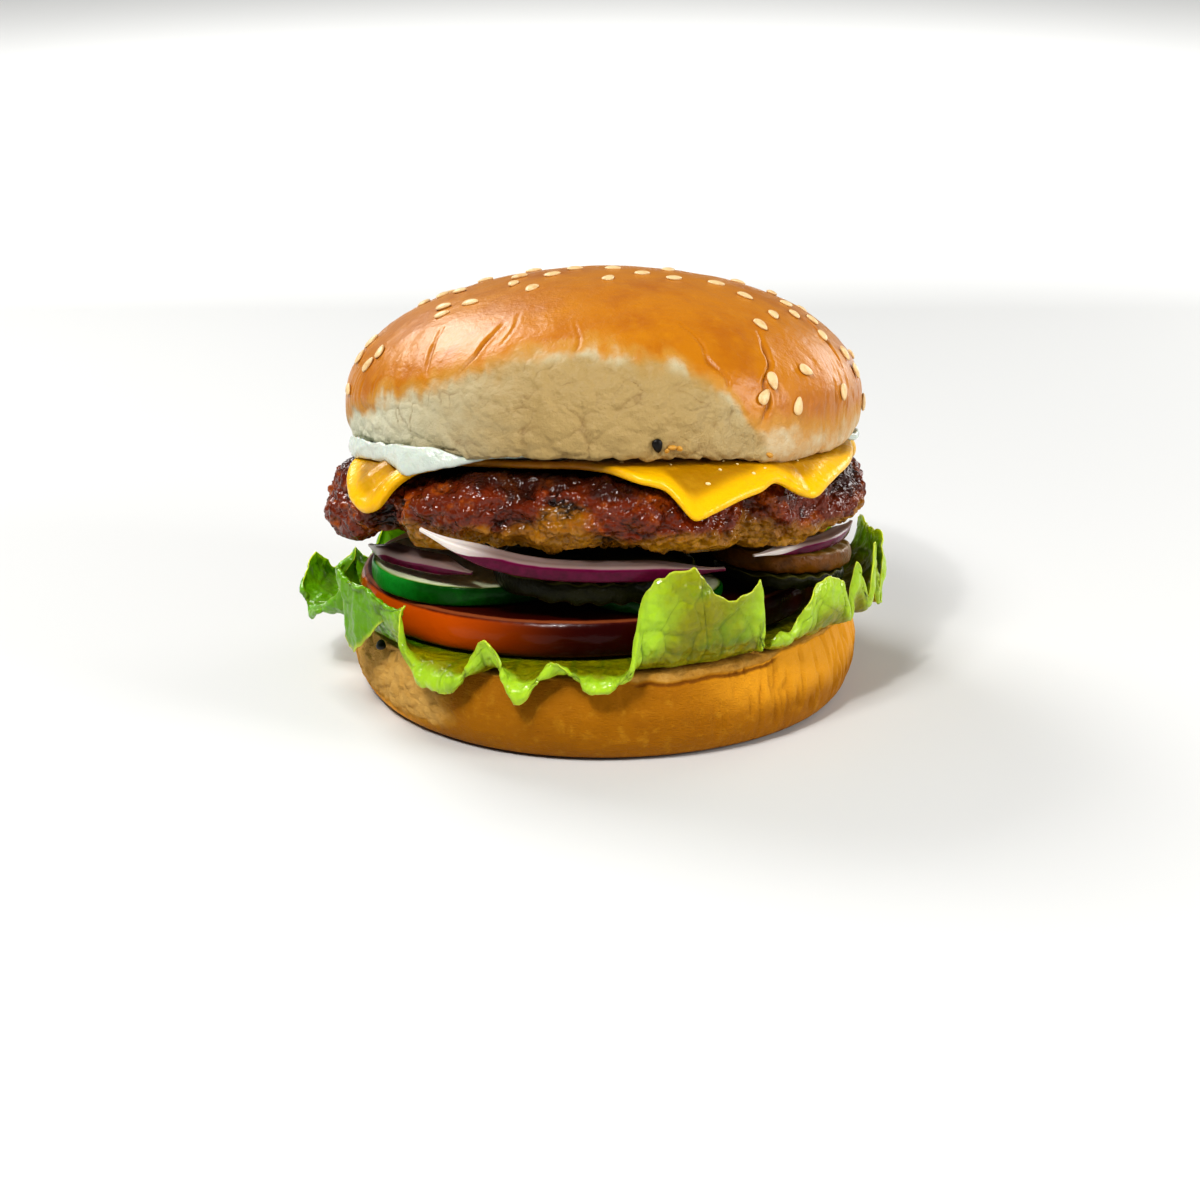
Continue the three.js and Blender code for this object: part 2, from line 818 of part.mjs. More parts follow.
/** Cheese slice. */
function cheeseSlice() {
  const shares = [0, 0.34, 0.67, 1];
  const bearings = positionsThrough(closedRound(CHEESE.overhang), CHEESE.bearingStep, 1);
  const lengthAt = (bearing, share) => CHEESE.bendStart + share * cheeseOverhangAt(bearing);
  const ringAt = (share, depth, extra) =>
    bearings.map((bearing) => cheesePoint(bearing, lengthAt(bearing, share) + extra, depth));
  const soft = 0.45;
  const rings = [
    ...shares.map((share) => ringAt(share, 0, share === 1 ? -soft : 0)),
    ringAt(1, CHEESE.thickness / 2, 0),
    ...[...shares].reverse().map((share) => ringAt(share, CHEESE.thickness, share === 1 ? -soft : 0)),
  ];
  const middle = (height) => new THREE.Vector3(0, 0, height);
  return pieceOf("cheese_slice", bodyOfRings(middle(CHEESE_UNDERSIDE), rings, middle(CHEESE_TOP)), 0xe8b21a, 0.35);
}

const CROWN_BASE = CHEESE_TOP + 1.4;

/** How far the crown's underside is below its cut face, towards its rim. */
function crownDrop(x, y) {
  const { baseRadius, rimDrop } = CROWN;
  return rimDrop * THREE.MathUtils.smoothstep(Math.hypot(x, y), baseRadius - 2.5, baseRadius);
}

/** Mayonnaise between the cheese and the crown. */
function mayonnaise() {
  const { edge, lift, undersideShares, rounding, steps } = MAYO;
  const geometry = discOf({
    steps,
    middle: new THREE.Vector3(),
    reachAt: curveRound(edge, 1),
    undersideAt: (x, y) => cheeseTopAt(Math.hypot(x, y)) + lift,
    topAt: (x, y) => CROWN_BASE - GAP - crownDrop(x, y),
    profile: roundEdge(rounding, 4),
    undersideShares,
  });
  return pieceOf("mayonnaise", geometry, 0xe9ecd8, 0.25);
}

const tearEdgeAt = curveThrough(CROWN.tearEdge, 1);

/** How far the crown's front is sunk where its skin is torn away. */
function tearSunk(bearing, height) {
  const away = THREE.MathUtils.euclideanModulo(bearing + 180, 360) - 180;
  const below = tearEdgeAt(away) - height;
  return CROWN.tearDepth * THREE.MathUtils.smoothstep(below, 0, 2.5);
}

/** Point of the crown's skin, by an angle from -90 at its base over 0 at its rim to 90 at its top. */
function crownPoint(bearing, angle) {
  const { radius, baseRadius, rimHeight, rimDrop, domeHeight, unevenness, rimSag } = CROWN;
  const slant = radians(angle);
  const low = angle < 0;
  const reach = low
    ? radius - (radius - baseRadius) * (1 - Math.cos(slant)) ** 1.6
    : radius * Math.cos(slant);
  const sag = rimSag.drop * (1 + 1.4 * Math.cos(slant)) * hump(bearing, rimSag.bearing, rimSag.width);
  const height = rimHeight + (low ? rimHeight + rimDrop + sag : domeHeight) * Math.sin(slant);
  const uneven = waves(bearing, unevenness) * (reach / radius) ** 2;
  return pointAt(bearing, reach + uneven - tearSunk(bearing, height), CROWN_BASE + height);
}

/** Sesame seed: a flat drop, pointed at one end, lying with its middle at the origin. */
function seedGeometry() {
  const { length, width, height, sunk, sides } = SEED;
  const ringAt = (scale, level) =>
    Array.from({ length: sides }, (_, side) => {
      const angle = (side * 2 * Math.PI) / sides;
      const along = Math.cos(angle);
      const narrow = 1 - 0.35 * along;
      return new THREE.Vector3((scale * along * length) / 2, (scale * narrow * Math.sin(angle) * width) / 2, level);
    });
  const rings = [ringAt(0.8, -sunk), ringAt(1, 0.45 * height)];
  return bodyOfRings(new THREE.Vector3(0, 0, -sunk), rings, new THREE.Vector3(0, 0, height));
}

/** Places of the seeds: bearing, slant and turn. */
function seedPlaces() {
  const { count, firstBearing, lastBearing, lowestSlant, spacing } = BACK_SEEDS;
  const places = [...FRONT_SEEDS];
  const goldenShare = 0.618034;
  const plasticShare = 0.754878;
  const lowest = Math.sin(radians(lowestSlant));
  for (let i = 0; places.length < FRONT_SEEDS.length + count; i += 1) {
    const bearing = firstBearing + ((i * goldenShare) % 1) * (lastBearing - firstBearing);
    const slant = degrees(Math.asin(lowest + ((i * plasticShare) % 1) * (1 - lowest)));
    const spot = crownPoint(bearing, slant);
    const clear = places.every(([b, s]) => crownPoint(b, s).distanceTo(spot) > spacing);
    if (clear) places.push([bearing, slant, 137.5 * i]);
  }
  return places;
}

/** Turn and shift that lay a seed on the crown's skin. */
function seedMatrix([bearing, slant, turn]) {
  const spot = crownPoint(bearing, slant);
  const down = crownPoint(bearing, slant - 2).sub(crownPoint(bearing, slant + 2)).normalize();
  const across = crownPoint(bearing + 2, slant).sub(crownPoint(bearing - 2, slant)).normalize();
  const out = down.clone().cross(across).normalize();
  const basis = new THREE.Matrix4().makeBasis(across, out.clone().cross(across), out).setPosition(spot);
  return basis.multiply(new THREE.Matrix4().makeRotationZ(-radians(turn)));
}

/** Crown of the bun with its seeds. */
function crownBun() {
  const { steps, domeRings, rimHeight } = CROWN;
  const rimAngles = [-90, -62, -34];
  const domeAngles = Array.from({ length: domeRings }, (_, i) => (i * 90) / domeRings);
  const cutFace = ringOf(steps, (bearing) => pointAt(bearing, CROWN.baseRadius - 2, CROWN_BASE));
  const skin = [...rimAngles, ...domeAngles].map((angle) => ringOf(steps, (bearing) => crownPoint(bearing, angle)));
  const rings = [cutFace, ...skin];
  const foot = new THREE.Vector3(0, 0, CROWN_BASE);
  const top = new THREE.Vector3(0, 0, CROWN_BASE + rimHeight + CROWN.domeHeight);
  let solid = solidOf(bodyOfRings(foot, rings, top));
  const seed = seedGeometry();
  const seeds = seedPlaces().map((place) => solidOf(seed.clone().applyMatrix4(seedMatrix(place))));
  for (const piece of seeds) solid = solid.add(piece);
  return pieceOf("crown_bun", geometryOfSolid(solid), 0xd98a2b, 0.4);
}

// --------------------------------------------------------------------- stack

const upperStack = new THREE.Group();
upperStack.rotation.set(-radians(LEAN.back), -radians(LEAN.left), 0);
upperStack.position.set(LEAN.shift, 0, LEAN.height);
upperStack.add(beefPatty(), cheeseSlice(), mayonnaise(), crownBun());

const cheeseburger = new THREE.Group();
cheeseburger.add(
  heelBun(),
  leaf("lettuce_leaf_front", FRONT_LEAF_EDGE, FRONT_LEAF_CREST),
  leaf("lettuce_leaf_right", rightLeafEdge()),
);
cheeseburger.add(tomatoSlice());
for (const [name, sizes] of Object.entries(ROUND_SLICES)) cheeseburger.add(roundSlice(name, sizes));
for (const [name, sizes] of Object.entries(ONIONS)) cheeseburger.add(onionStrip(name, sizes));
cheeseburger.add(upperStack);

export default cheeseburger;
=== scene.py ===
"""A cheeseburger's visible pieces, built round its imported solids.

Sizes are in millimetres until a mesh is made, and a mesh is in metres. +Z is up and the
front faces -Y. A bearing goes round the stack in degrees: 0 is the front, 90 the right,
-90 the left and 180 the back. The patty and all that lies on it lean back together.
"""

import logging
import math
from dataclasses import dataclass, replace
from enum import StrEnum
from typing import Callable, Sequence

import bpy
import numpy as np
from mathutils import Matrix, Vector


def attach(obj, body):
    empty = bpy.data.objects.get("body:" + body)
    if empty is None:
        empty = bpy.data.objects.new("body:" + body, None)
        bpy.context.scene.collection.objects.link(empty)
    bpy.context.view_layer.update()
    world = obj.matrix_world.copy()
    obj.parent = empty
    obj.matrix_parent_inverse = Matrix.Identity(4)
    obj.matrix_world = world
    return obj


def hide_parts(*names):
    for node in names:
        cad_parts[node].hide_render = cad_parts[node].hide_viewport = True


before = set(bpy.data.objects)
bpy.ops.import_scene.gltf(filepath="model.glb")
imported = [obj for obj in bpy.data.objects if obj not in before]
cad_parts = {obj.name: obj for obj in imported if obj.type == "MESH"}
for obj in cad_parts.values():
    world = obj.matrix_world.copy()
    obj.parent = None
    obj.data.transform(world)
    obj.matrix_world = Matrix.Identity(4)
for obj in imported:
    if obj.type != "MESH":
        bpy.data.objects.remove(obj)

log = logging.getLogger("cheeseburger")

MM = 0.001
FLOOR_HALF_M = 4.0
GOLDEN_TURN = 137.5
EVEN_STEPS = (0.618034, 0.754878)

Array = np.ndarray
Numbers = Array | float
Masks = dict[str, Array]
Spot = tuple[float, float, float]
Rows = Sequence[tuple[float, ...]]
Tree = bpy.types.NodeTree
Socket = bpy.types.NodeSocket


# ------------------------------------------------------------------ numbers


def linear(code: str) -> tuple[float, float, float, float]:
    """Linear colour, with full alpha, of an sRGB hex code such as "d98a2b"."""
    shares = [int(code[i : i + 2], 16) / 255 for i in (0, 2, 4)]
    red, green, blue = (c / 12.92 if c <= 0.04045 else ((c + 0.055) / 1.055) ** 2.4 for c in shares)
    return red, green, blue, 1.0


def stacked(*parts: Numbers) -> Array:
    """Points whose coordinates are given one by one, numbers or arrays that fit together."""
    return np.stack(np.broadcast_arrays(*parts), -1)


def smooth(low: Numbers, high: Numbers, value: Numbers) -> Array:
    """Soft step from 0 at low to 1 at high; low may be the larger one."""
    share = np.clip((value - low) / (high - low), 0.0, 1.0)
    return share * share * (3.0 - 2.0 * share)


def away_from(bearing: Numbers, middle: float) -> Array:
    """Signed angle from a bearing to each of many, from -180 to 180."""
    return (np.asarray(bearing) - middle + 180.0) % 360.0 - 180.0


def hump(bearing: Numbers, middle: float, width: float) -> Array:
    """Smooth hump: 1 at its bearing, 0 further off than its width."""
    away = away_from(bearing, middle)
    return np.where(np.abs(away) < width, 0.5 + 0.5 * np.cos(math.pi * away / width), 0.0)


def waves(bearing: Numbers, terms: Rows) -> Array:
    """Sum of sine waves round the stack, each given as count, size and phase."""
    angle = np.radians(bearing)
    return sum(size * np.sin(count * angle + phase) for count, size, phase in terms)


def round_points(bearing: Numbers, reach: Numbers, height: Numbers) -> Array:
    """Points at bearings, distances from the middle and heights."""
    angle = np.radians(bearing)
    return stacked(reach * np.sin(angle), -reach * np.cos(angle), height)


def dense_bearings(front_step: float, back_step: float, front: float = 105.0) -> Array:
    """Bearings of a full turn, closer together round the front.

    Args:
        front_step: Degrees between bearings at the front.
        back_step: Degrees between bearings at the back.
        front: Bearing, on both sides, where the front ends.

    Returns:
        Rising bearings from -180 up to, but without, 180.
    """
    side = np.arange(-180.0, -front, back_step)
    middle = np.arange(-front, front, front_step)
    return np.concatenate([side, middle, np.arange(front, 180.0, back_step)])


def curve_through(knots: Rows, column: int = 1, closed: bool = False) -> Callable[[Array], Array]:
    """Smooth curve through knots that doesn't overshoot between them.

    Args:
        knots: Rows with a rising position first and values after it.
        column: The value to follow.
        closed: Whether the knots close on themselves after a full turn.

    Returns:
        Function from positions to values.
    """
    table = np.array([[row[0], row[column]] for row in knots], float)
    if closed:
        table = np.vstack([table, [table[0, 0] + 360.0, table[0, 1]]])
    at, value = table[:, 0], table[:, 1]
    secant = np.diff(value) / np.diff(at)
    slope = np.zeros(len(at))
    product = secant[:-1] * secant[1:]
    total = secant[:-1] + secant[1:]
    slope[1:-1] = np.where(product > 0, 2 * product / np.where(product > 0, total, 1.0), 0.0)

    def values(position: Array) -> Array:
        """Values of the curve at positions."""
        spot = np.asarray(position, float)
        spot = at[0] + (spot - at[0]) % 360.0 if closed else np.clip(spot, at[0], at[-1])
        i = np.clip(np.searchsorted(at, spot, side="right") - 1, 0, len(at) - 2)
        span = at[i + 1] - at[i]
        t = (spot - at[i]) / span
        start = value[i] * (1 + 2 * t) * (1 - t) ** 2 + slope[i] * span * t * (1 - t) ** 2
        return start + value[i + 1] * t * t * (3 - 2 * t) + slope[i + 1] * span * t * t * (t - 1)

    return values


def spline(points: Array, count: int, closed: bool = False) -> Array:
    """Points of a smooth curve through given ones.

    Args:
        points: Knots along the first axis; further axes are kept.
        count: Number of points of the result.
        closed: Whether the curve returns to its start.

    Returns:
        The curve's points along the first axis.
    """
    knots = np.asarray(points, float)
    before, after = knots[-1:], knots[:2]
    if not closed:
        before, after = 2 * knots[:1] - knots[1:2], 2 * knots[-1:] - knots[-2:-1]
    padded = np.concatenate([before, knots, after])
    spans = len(knots) if closed else len(knots) - 1
    at = np.linspace(0.0, spans, count, endpoint=not closed)
    i = np.minimum(at.astype(int), spans - 1)
    t = (at - i).reshape((-1,) + (1,) * (knots.ndim - 1))
    a, b, c, d = (padded[i + k] for k in range(4))
    bend, twist = 2 * a - 5 * b + 4 * c - d, 3 * b - a - 3 * c + d
    return 0.5 * (2 * b + (c - a) * t + bend * t**2 + twist * t**3)


class Grain:
    """Seeded noise in space, worked out for many points at once."""

    AXIS_PRIMES = (374761393, 668265263, 1440662683)
    MIXING_PRIME = 1274126177

    @classmethod
    def _random(cls, cells: Array, seed: int) -> Array:
        """Even random numbers from 0 to 1, one for each whole-number cell."""
        whole = cells.astype(np.int64)
        mixed = sum(whole[..., axis] * prime for axis, prime in enumerate(cls.AXIS_PRIMES))
        mixed = (mixed + seed * cls.MIXING_PRIME) & 0xFFFFFFFF
        for _ in range(2):
            mixed = ((mixed ^ (mixed >> 13)) * cls.MIXING_PRIME) & 0xFFFFFFFF
        return ((mixed ^ (mixed >> 16)) & 0xFFFFFF) / float(0x1000000)

    @classmethod
    def value(cls, points: Array, size: float, seed: int) -> Array:
        """Soft noise from -1 to 1 whose lumps have a size."""
        scaled = points / size
        base = np.floor(scaled)
        part = scaled - base
        part = part * part * (3 - 2 * part)
        total = np.zeros(points.shape[:-1])
        for corner in np.ndindex(2, 2, 2):
            share = np.prod(np.where(np.array(corner) == 1, part, 1 - part), axis=-1)
            total += share * cls._random(base + np.array(corner), seed)
        return total * 2 - 1

    @classmethod
    def layered(cls, points: Array, size: float, seed: int, layers: int = 4) -> Array:
        """Noise whose layers halve in size and strength, about -1 to 1."""
        total = sum(cls.value(points, size / 2**k, seed + k) / 2**k for k in range(layers))
        return total / (2 - 2 ** (1 - layers))

    @classmethod
    def cells(cls, points: Array, size: float, seed: int) -> tuple[Array, Array]:
        """Distances to the nearest and the second nearest of scattered spots, in cell sizes."""
        scaled = points / size
        base = np.floor(scaled)
        first = np.full(points.shape[:-1], 9.0)
        second = first.copy()
        for step in np.ndindex(3, 3, 3):
            cell = base + (np.array(step) - 1)
            spot = cell + stacked(*(cls._random(cell, seed + k) for k in range(3)))
            gap = np.linalg.norm(spot - scaled, axis=-1)
            second = np.minimum(second, np.maximum(first, gap))
            first = np.minimum(first, gap)
        return first, second

    @classmethod
    def warp(cls, points: Array, size: float, seed: int) -> Array:
        """Soft noise for each axis, to bend a pattern out of its straight lines."""
        return stacked(*(cls.layered(points, size, seed + k, 3) for k in range(3)))


@dataclass(frozen=True)
class Lumps:
    """Soft uneven relief of one kind.

    Attributes:
        depth: Height of its lumps.
        size: Width of its lumps.
        seed: Seed of their places.
        layers: Number of its layers, each half as wide and half as high as the one before.
    """

    depth: float
    size: float
    seed: int
    layers: int = 4

    def at(self, points: Array) -> Array:
        """Its height at each point."""
        return self.depth * Grain.layered(points, self.size, self.seed, self.layers)


# ----------------------------------------------------------------- finishes


@dataclass(frozen=True)
class Tint:
    """A colour laid over the ones before it.

    Attributes:
        colour: Hex colour.
        mask: Vertex attribute that says where, or "" for everywhere.
        spot_mm: Size of the spots that break it up; 0 for none.
        low: Value where it starts.
        high: Value where it is full.
        share: How much of it shows at most.
        spread: How far the spots push a mask up and down.
        stretch: How much longer the spots are along each axis.
        roughness: Roughness where it is full, or None to keep what is there.
    """

    colour: str
    mask: str = ""
    spot_mm: float = 0.0
    low: float = 0.0
    high: float = 1.0
    share: float = 1.0
    spread: float = 0.6
    stretch: Spot = (1.0, 1.0, 1.0)
    roughness: float | None = None


@dataclass(frozen=True)
class FineRelief:
    """Relief too fine for the mesh.

    Attributes:
        size_mm: Size of its grains.
        depth_mm: Height from its lows to its highs.
        stretch: How much longer the grains are along each axis.
        mask: Vertex attribute that says where, or "" for everywhere.
        detail: Number of finer layers; few of them leave wet grains smooth enough to glint.
    """

    size_mm: float
    depth_mm: float
    stretch: Spot = (1.0, 1.0, 1.0)
    mask: str = ""
    detail: float = 4.0


def add_node(
    tree: Tree, kind: str, inputs: dict[str | int, object] | None = None, **settings: str
) -> bpy.types.Node:
    """Adds a node with its settings, values and links.

    Args:
        tree: Tree that gets the node.
        kind: Node type.
        inputs: Value or output socket for each input, by its name or number.
        **settings: Properties of the node, set before its inputs.

    Returns:
        The new node.
    """
    node = tree.nodes.new(kind)
    for name, value in settings.items():
        setattr(node, name, value)
    for name, value in (inputs or {}).items():
        socket = node.inputs[name]
        if isinstance(value, Socket):
            tree.links.new(value, socket)
        else:
            socket.default_value = value
    return node


@dataclass(frozen=True)
class Finish:
    """A surface, from its base colour up.

    Attributes:
        name: The real material and how its surface came about.
        colour: Base hex colour.
        roughness: Roughness of the base.
        tints: Colours laid over the base, in order.
        reliefs: Fine relief, coarse first.
        ior: Refraction index.
        inner_mm: How far light goes under the surface; 0 for not at all.
        inner_share: How much of the light does so.
        inner_colours: How far red, green and blue light go, as shares of that depth.
        wet: How much of a clear wet film lies on it.
        wet_roughness: Roughness of that film.
        wet_ior: Refraction index of that film.
        shine: Specular level; 0.5 is plain for the refraction index.
    """

    name: str
    colour: str
    roughness: float
    tints: tuple[Tint, ...] = ()
    reliefs: tuple[FineRelief, ...] = ()
    ior: float = 1.45
    inner_mm: float = 0.0
    inner_share: float = 0.0
    inner_colours: Spot = (1.0, 0.45, 0.2)
    wet: float = 0.0
    wet_roughness: float = 0.1
    wet_ior: float = 1.5
    shine: float = 0.5

    def material(self) -> bpy.types.Material:
        """The material of this finish, made once."""
        return bpy.data.materials.get(self.name) or self._made()

    def _made(self) -> bpy.types.Material:
        """Builds the material's node tree."""
        material = bpy.data.materials.new(self.name)
        material.use_nodes = True
        tree = material.node_tree
        tree.nodes.clear()
        place = add_node(tree, "ShaderNodeTexCoord").outputs["Object"]
        inputs = {
            "Base Color": linear(self.colour),
            "Roughness": self.roughness,
            "IOR": self.ior,
            "Specular IOR Level": self.shine,
            "Coat Weight": self.wet,
            "Coat Roughness": self.wet_roughness,
            "Coat IOR": self.wet_ior,
            "Subsurface Weight": self.inner_share,
            "Subsurface Radius": self.inner_colours,
            "Subsurface Scale": self.inner_mm * MM,
        }
        skin = add_node(tree, "ShaderNodeBsdfPrincipled", inputs)
        self._tinted(tree, place, skin)
        self._roughened(tree, place, skin)
        add_node(tree, "ShaderNodeOutputMaterial", {"Surface": skin.outputs["BSDF"]})
        return material

    def _tinted(self, tree: Tree, place: Socket, skin: bpy.types.Node) -> None:
        """Links the tints' colours and roughnesses."""
        colour: tuple[float, ...] | Socket = linear(self.colour)
        roughness: float | Socket = self.roughness
        for tint in self.tints:
            amount = self._amount(tree, place, tint)
            inputs = {0: amount, 6: colour, 7: linear(tint.colour)}
            colour = add_node(tree, "ShaderNodeMix", inputs, data_type="RGBA").outputs[2]
            if tint.roughness is not None:
                inputs = {0: amount, 2: roughness, 3: tint.roughness}
                roughness = add_node(tree, "ShaderNodeMix", inputs, data_type="FLOAT").outputs[0]
        for value, name in ((colour, "Base Color"), (roughness, "Roughness")):
            if isinstance(value, Socket):
                tree.links.new(value, skin.inputs[name])

    def _amount(self, tree: Tree, place: Socket, tint: Tint) -> Socket:
        """How much of a tint shows at each place."""
        value: float | Socket = 1.0
        if tint.spot_mm:
            value = self._noise(tree, place, FineRelief(tint.spot_mm, 0.0, tint.stretch))
        if tint.mask:
            where = add_node(tree, "ShaderNodeAttribute", attribute_name=tint.mask).outputs["Fac"]
            if tint.spot_mm:
                centred = add_node(tree, "ShaderNodeMath", {0: value, 1: 0.5}, operation="SUBTRACT")
                inputs = {0: centred.outputs[0], 1: tint.spread, 2: where}
                value = add_node(tree, "ShaderNodeMath", inputs, operation="MULTIPLY_ADD").outputs[0]
            else:
                value = where
        inputs = {"Value": value, 1: tint.low, 2: tint.high, 3: 0.0, 4: tint.share}
        return add_node(tree, "ShaderNodeMapRange", inputs, interpolation_type="SMOOTHSTEP").outputs[0]

    def _noise(self, tree: Tree, place: Socket, relief: FineRelief) -> Socket:
        """A relief's pattern, from 0 to 1."""
        inputs = {"Vector": place, "Scale": tuple(1 / s for s in relief.stretch)}
        mapped = add_node(tree, "ShaderNodeMapping", inputs).outputs[0]
        scale = 1 / (relief.size_mm * MM)
        inputs = {"Vector": mapped, "Scale": scale, "Detail": relief.detail, "Roughness": 0.6}
        return add_node(tree, "ShaderNodeTexNoise", inputs).outputs[0]

    def _roughened(self, tree: Tree, place: Socket, skin: bpy.types.Node) -> None:
        """Chains the fine reliefs into the surface's normal."""
        normal = None
        for relief in self.reliefs:
            inputs = {"Height": self._noise(tree, place, relief), "Distance": relief.depth_mm * MM}
            if relief.mask:
                where = add_node(tree, "ShaderNodeAttribute", attribute_name=relief.mask)
                inputs["Strength"] = where.outputs["Fac"]
            if normal is not None:
                inputs["Normal"] = normal
            normal = add_node(tree, "ShaderNodeBump", inputs).outputs[0]
        if normal is not None:
            tree.links.new(normal, skin.inputs["Normal"])
            tree.links.new(normal, skin.inputs["Coat Normal"])


# Baked bun crust: egg-washed dough browned in the oven. It looks orange-gold and a little
# glossy on top, pale and dull where the skin is torn.
# Its creases, wrinkles and the crevices of its torn crumb are painted darker as painted shade.
BAKED_CRUST = Finish(
    name="bread_crust_baked", colour="b77204", roughness=0.36, shine=0.3, wet=0.32,
    wet_roughness=0.33,
    tints=(
        Tint("9c5202", spot_mm=11.0, low=0.42, high=0.72, share=0.55),
        Tint("c8860c", spot_mm=4.0, low=0.5, high=0.8, share=0.35),
        Tint("b88028", mask="pale", spot_mm=3.0, low=0.12, high=0.55, spread=0.45, roughness=0.6),
        Tint("c8c6ac", mask="pale", spot_mm=2.4, low=0.5, high=1.0, spread=0.4, roughness=0.85),
        Tint("a0834a", mask="shade", spot_mm=3.0, low=0.0, high=1.0, spread=0.25, share=0.92),
        # Painted shade in the crust's creases and wrinkles.
        Tint("7e4203", mask="seam", low=0.15, high=0.9, share=0.85, roughness=0.6),
        # Painted shade in the crevices of the torn crumb and in its creases.
        Tint("74562a", mask="pit", low=0.25, high=1.0, share=0.6, roughness=0.85),
    ),
    reliefs=(
        FineRelief(2.4, 0.15),
        FineRelief(0.9, 0.4, mask="pale"),
        FineRelief(1.1, 0.1),
        FineRelief(0.5, 0.03),
    ),
)

# The heel's crust, baked against the tin: ochre and duller, with a matt torn patch.
# Its side is painted brighter gold at the upper right, the back and the left as painted light; its
# wrinkles, the fold under the crumb strip and its hollows are painted darker as painted shade, and it is
# darker along its foot.
HEEL_CRUST = Finish(
    name="bread_crust_baked_heel", colour="a06602", roughness=0.5, shine=0.12,
    tints=(
        Tint("905802", spot_mm=9.0, low=0.45, high=0.75, share=0.5),
        Tint("c48c22", spot_mm=2.2, low=0.5, high=0.75, share=0.45),
        # Painted light: the upper right, the back and the left of the side are brighter.
        Tint("dc9820", mask="gold", spot_mm=4.0, low=0.1, high=1.0, spread=0.3),
        Tint("b07c28", mask="pale", spot_mm=3.0, low=0.1, high=0.6, spread=0.5, roughness=0.6),
        Tint("cfa45c", mask="pale", spot_mm=2.2, low=0.5, high=1.1, spread=0.6, roughness=0.85),
        # Painted shade in the wrinkles and in the fold under the crumb strip; also darker along the foot.
        Tint("6f3d03", mask="seam", low=0.15, high=0.9, share=0.8, roughness=0.6),
        # Painted shade in the hollows of the torn patch and the crumb strip.
        Tint("694a22", mask="pit", low=0.25, high=1.0, share=0.65, roughness=0.85),
    ),
    reliefs=(
        FineRelief(2.0, 0.2),
        FineRelief(1.1, 0.22, stretch=(1.0, 1.0, 0.22)),
        FineRelief(0.9, 0.35, mask="pale"),
        FineRelief(0.5, 0.05),
    ),
)

# Hulled sesame: dry cream seed coats, a little darker round the rim, with a faint satin shine.
SESAME = Finish(
    name="sesame_hulled", colour="dcbe8c", roughness=0.4,
    tints=(Tint("b98a4a", spot_mm=1.6, low=0.45, high=0.75, share=0.75),),
    reliefs=(FineRelief(0.4, 0.03),),
)

# Black sesame: the same seed with its dark hull on.
BLACK_SESAME = Finish(
    name="sesame_black_hull", colour="0c0906", roughness=0.4, shine=0.3,
    reliefs=(FineRelief(0.4, 0.03),),
)

# Bread crumbs: dry specks of torn crumb, dull and pale.
CRUMB = Finish(
    name="bread_crumb_torn", colour="ead49c", roughness=0.85,
)

# Browned crumbs: bits of crust soaked with fat, orange and a little shiny.
BROWNED_CRUMB = Finish(
    name="bread_crumb_browned", colour="c08c34", roughness=0.45,
)

# Whipped mayonnaise: an oil and egg emulsion, white, glossy and faintly translucent.
EMULSION = Finish(
    name="mayonnaise_whipped", colour="c6cec2", roughness=0.26, ior=1.47, inner_mm=1.0,
    inner_share=0.2, wet=0.3, wet_roughness=0.12,
    reliefs=(FineRelief(2.6, 0.5),),
)

# Processed cheese, melted: smooth, satin and deep yellow, with painted light on its hanging rims and
# painted shade along its bend and in its dents.
MELTED_CHEESE = Finish(
    name="processed_cheese_melted", colour="a47400", roughness=0.34, ior=1.46, inner_mm=1.4,
    inner_share=0.15, shine=0.3, wet=0.14, wet_roughness=0.14, wet_ior=1.4,
    tints=(
        # Painted light on the hanging rims.
        Tint("eeb600", mask="rim", low=0.05, high=0.9, share=0.95),
        # Painted shade where the slice bends down under the crown's rim, and in its dents.
        Tint("9c6000", mask="bend", low=0.2, high=1.0, share=0.8),
        Tint("ad7000", spot_mm=9.0, low=0.5, high=0.8, share=0.4),
        Tint("d8a828", spot_mm=3.0, low=0.52, high=0.72, share=0.2),
    ),
    reliefs=(FineRelief(4.0, 0.6, detail=2.0), FineRelief(1.2, 0.12, detail=2.0)),
)

# Grilled minced beef: browned, fat-glazed crust over coarse mince, tan where less seared.
GRILLED_BEEF = Finish(
    name="minced_beef_grilled", colour="682202", roughness=0.6, ior=1.46, shine=0.05, wet=0.85,
    wet_roughness=0.12, wet_ior=1.45,
    tints=(
        Tint("a6520a", spot_mm=5.0, low=0.5, high=0.7, share=0.85),
        Tint("220602", spot_mm=3.4, low=0.5, high=0.72, share=0.7),
        Tint("905c02", mask="tan", spot_mm=4.0, low=0.3, high=0.8, spread=0.7, roughness=0.45),
        Tint("bc861c", mask="tan", spot_mm=1.6, low=0.75, high=1.15, spread=0.9, share=0.6),
        # Seared char at the top edge and at the right, with painted shade under the cheese and in the
        # cracks.
        Tint("180602", mask="char", spot_mm=3.0, low=0.35, high=1.0, spread=0.7, share=0.8),
        # Painted shade, nearly black, in the pits of the mince.
        Tint("0c0301", mask="pit", low=0.05, high=0.8, share=0.94, roughness=0.7),
    ),
    reliefs=(
        FineRelief(2.2, 0.9, detail=0.5),
        FineRelief(1.0, 0.6, detail=0.5),
    ),
)

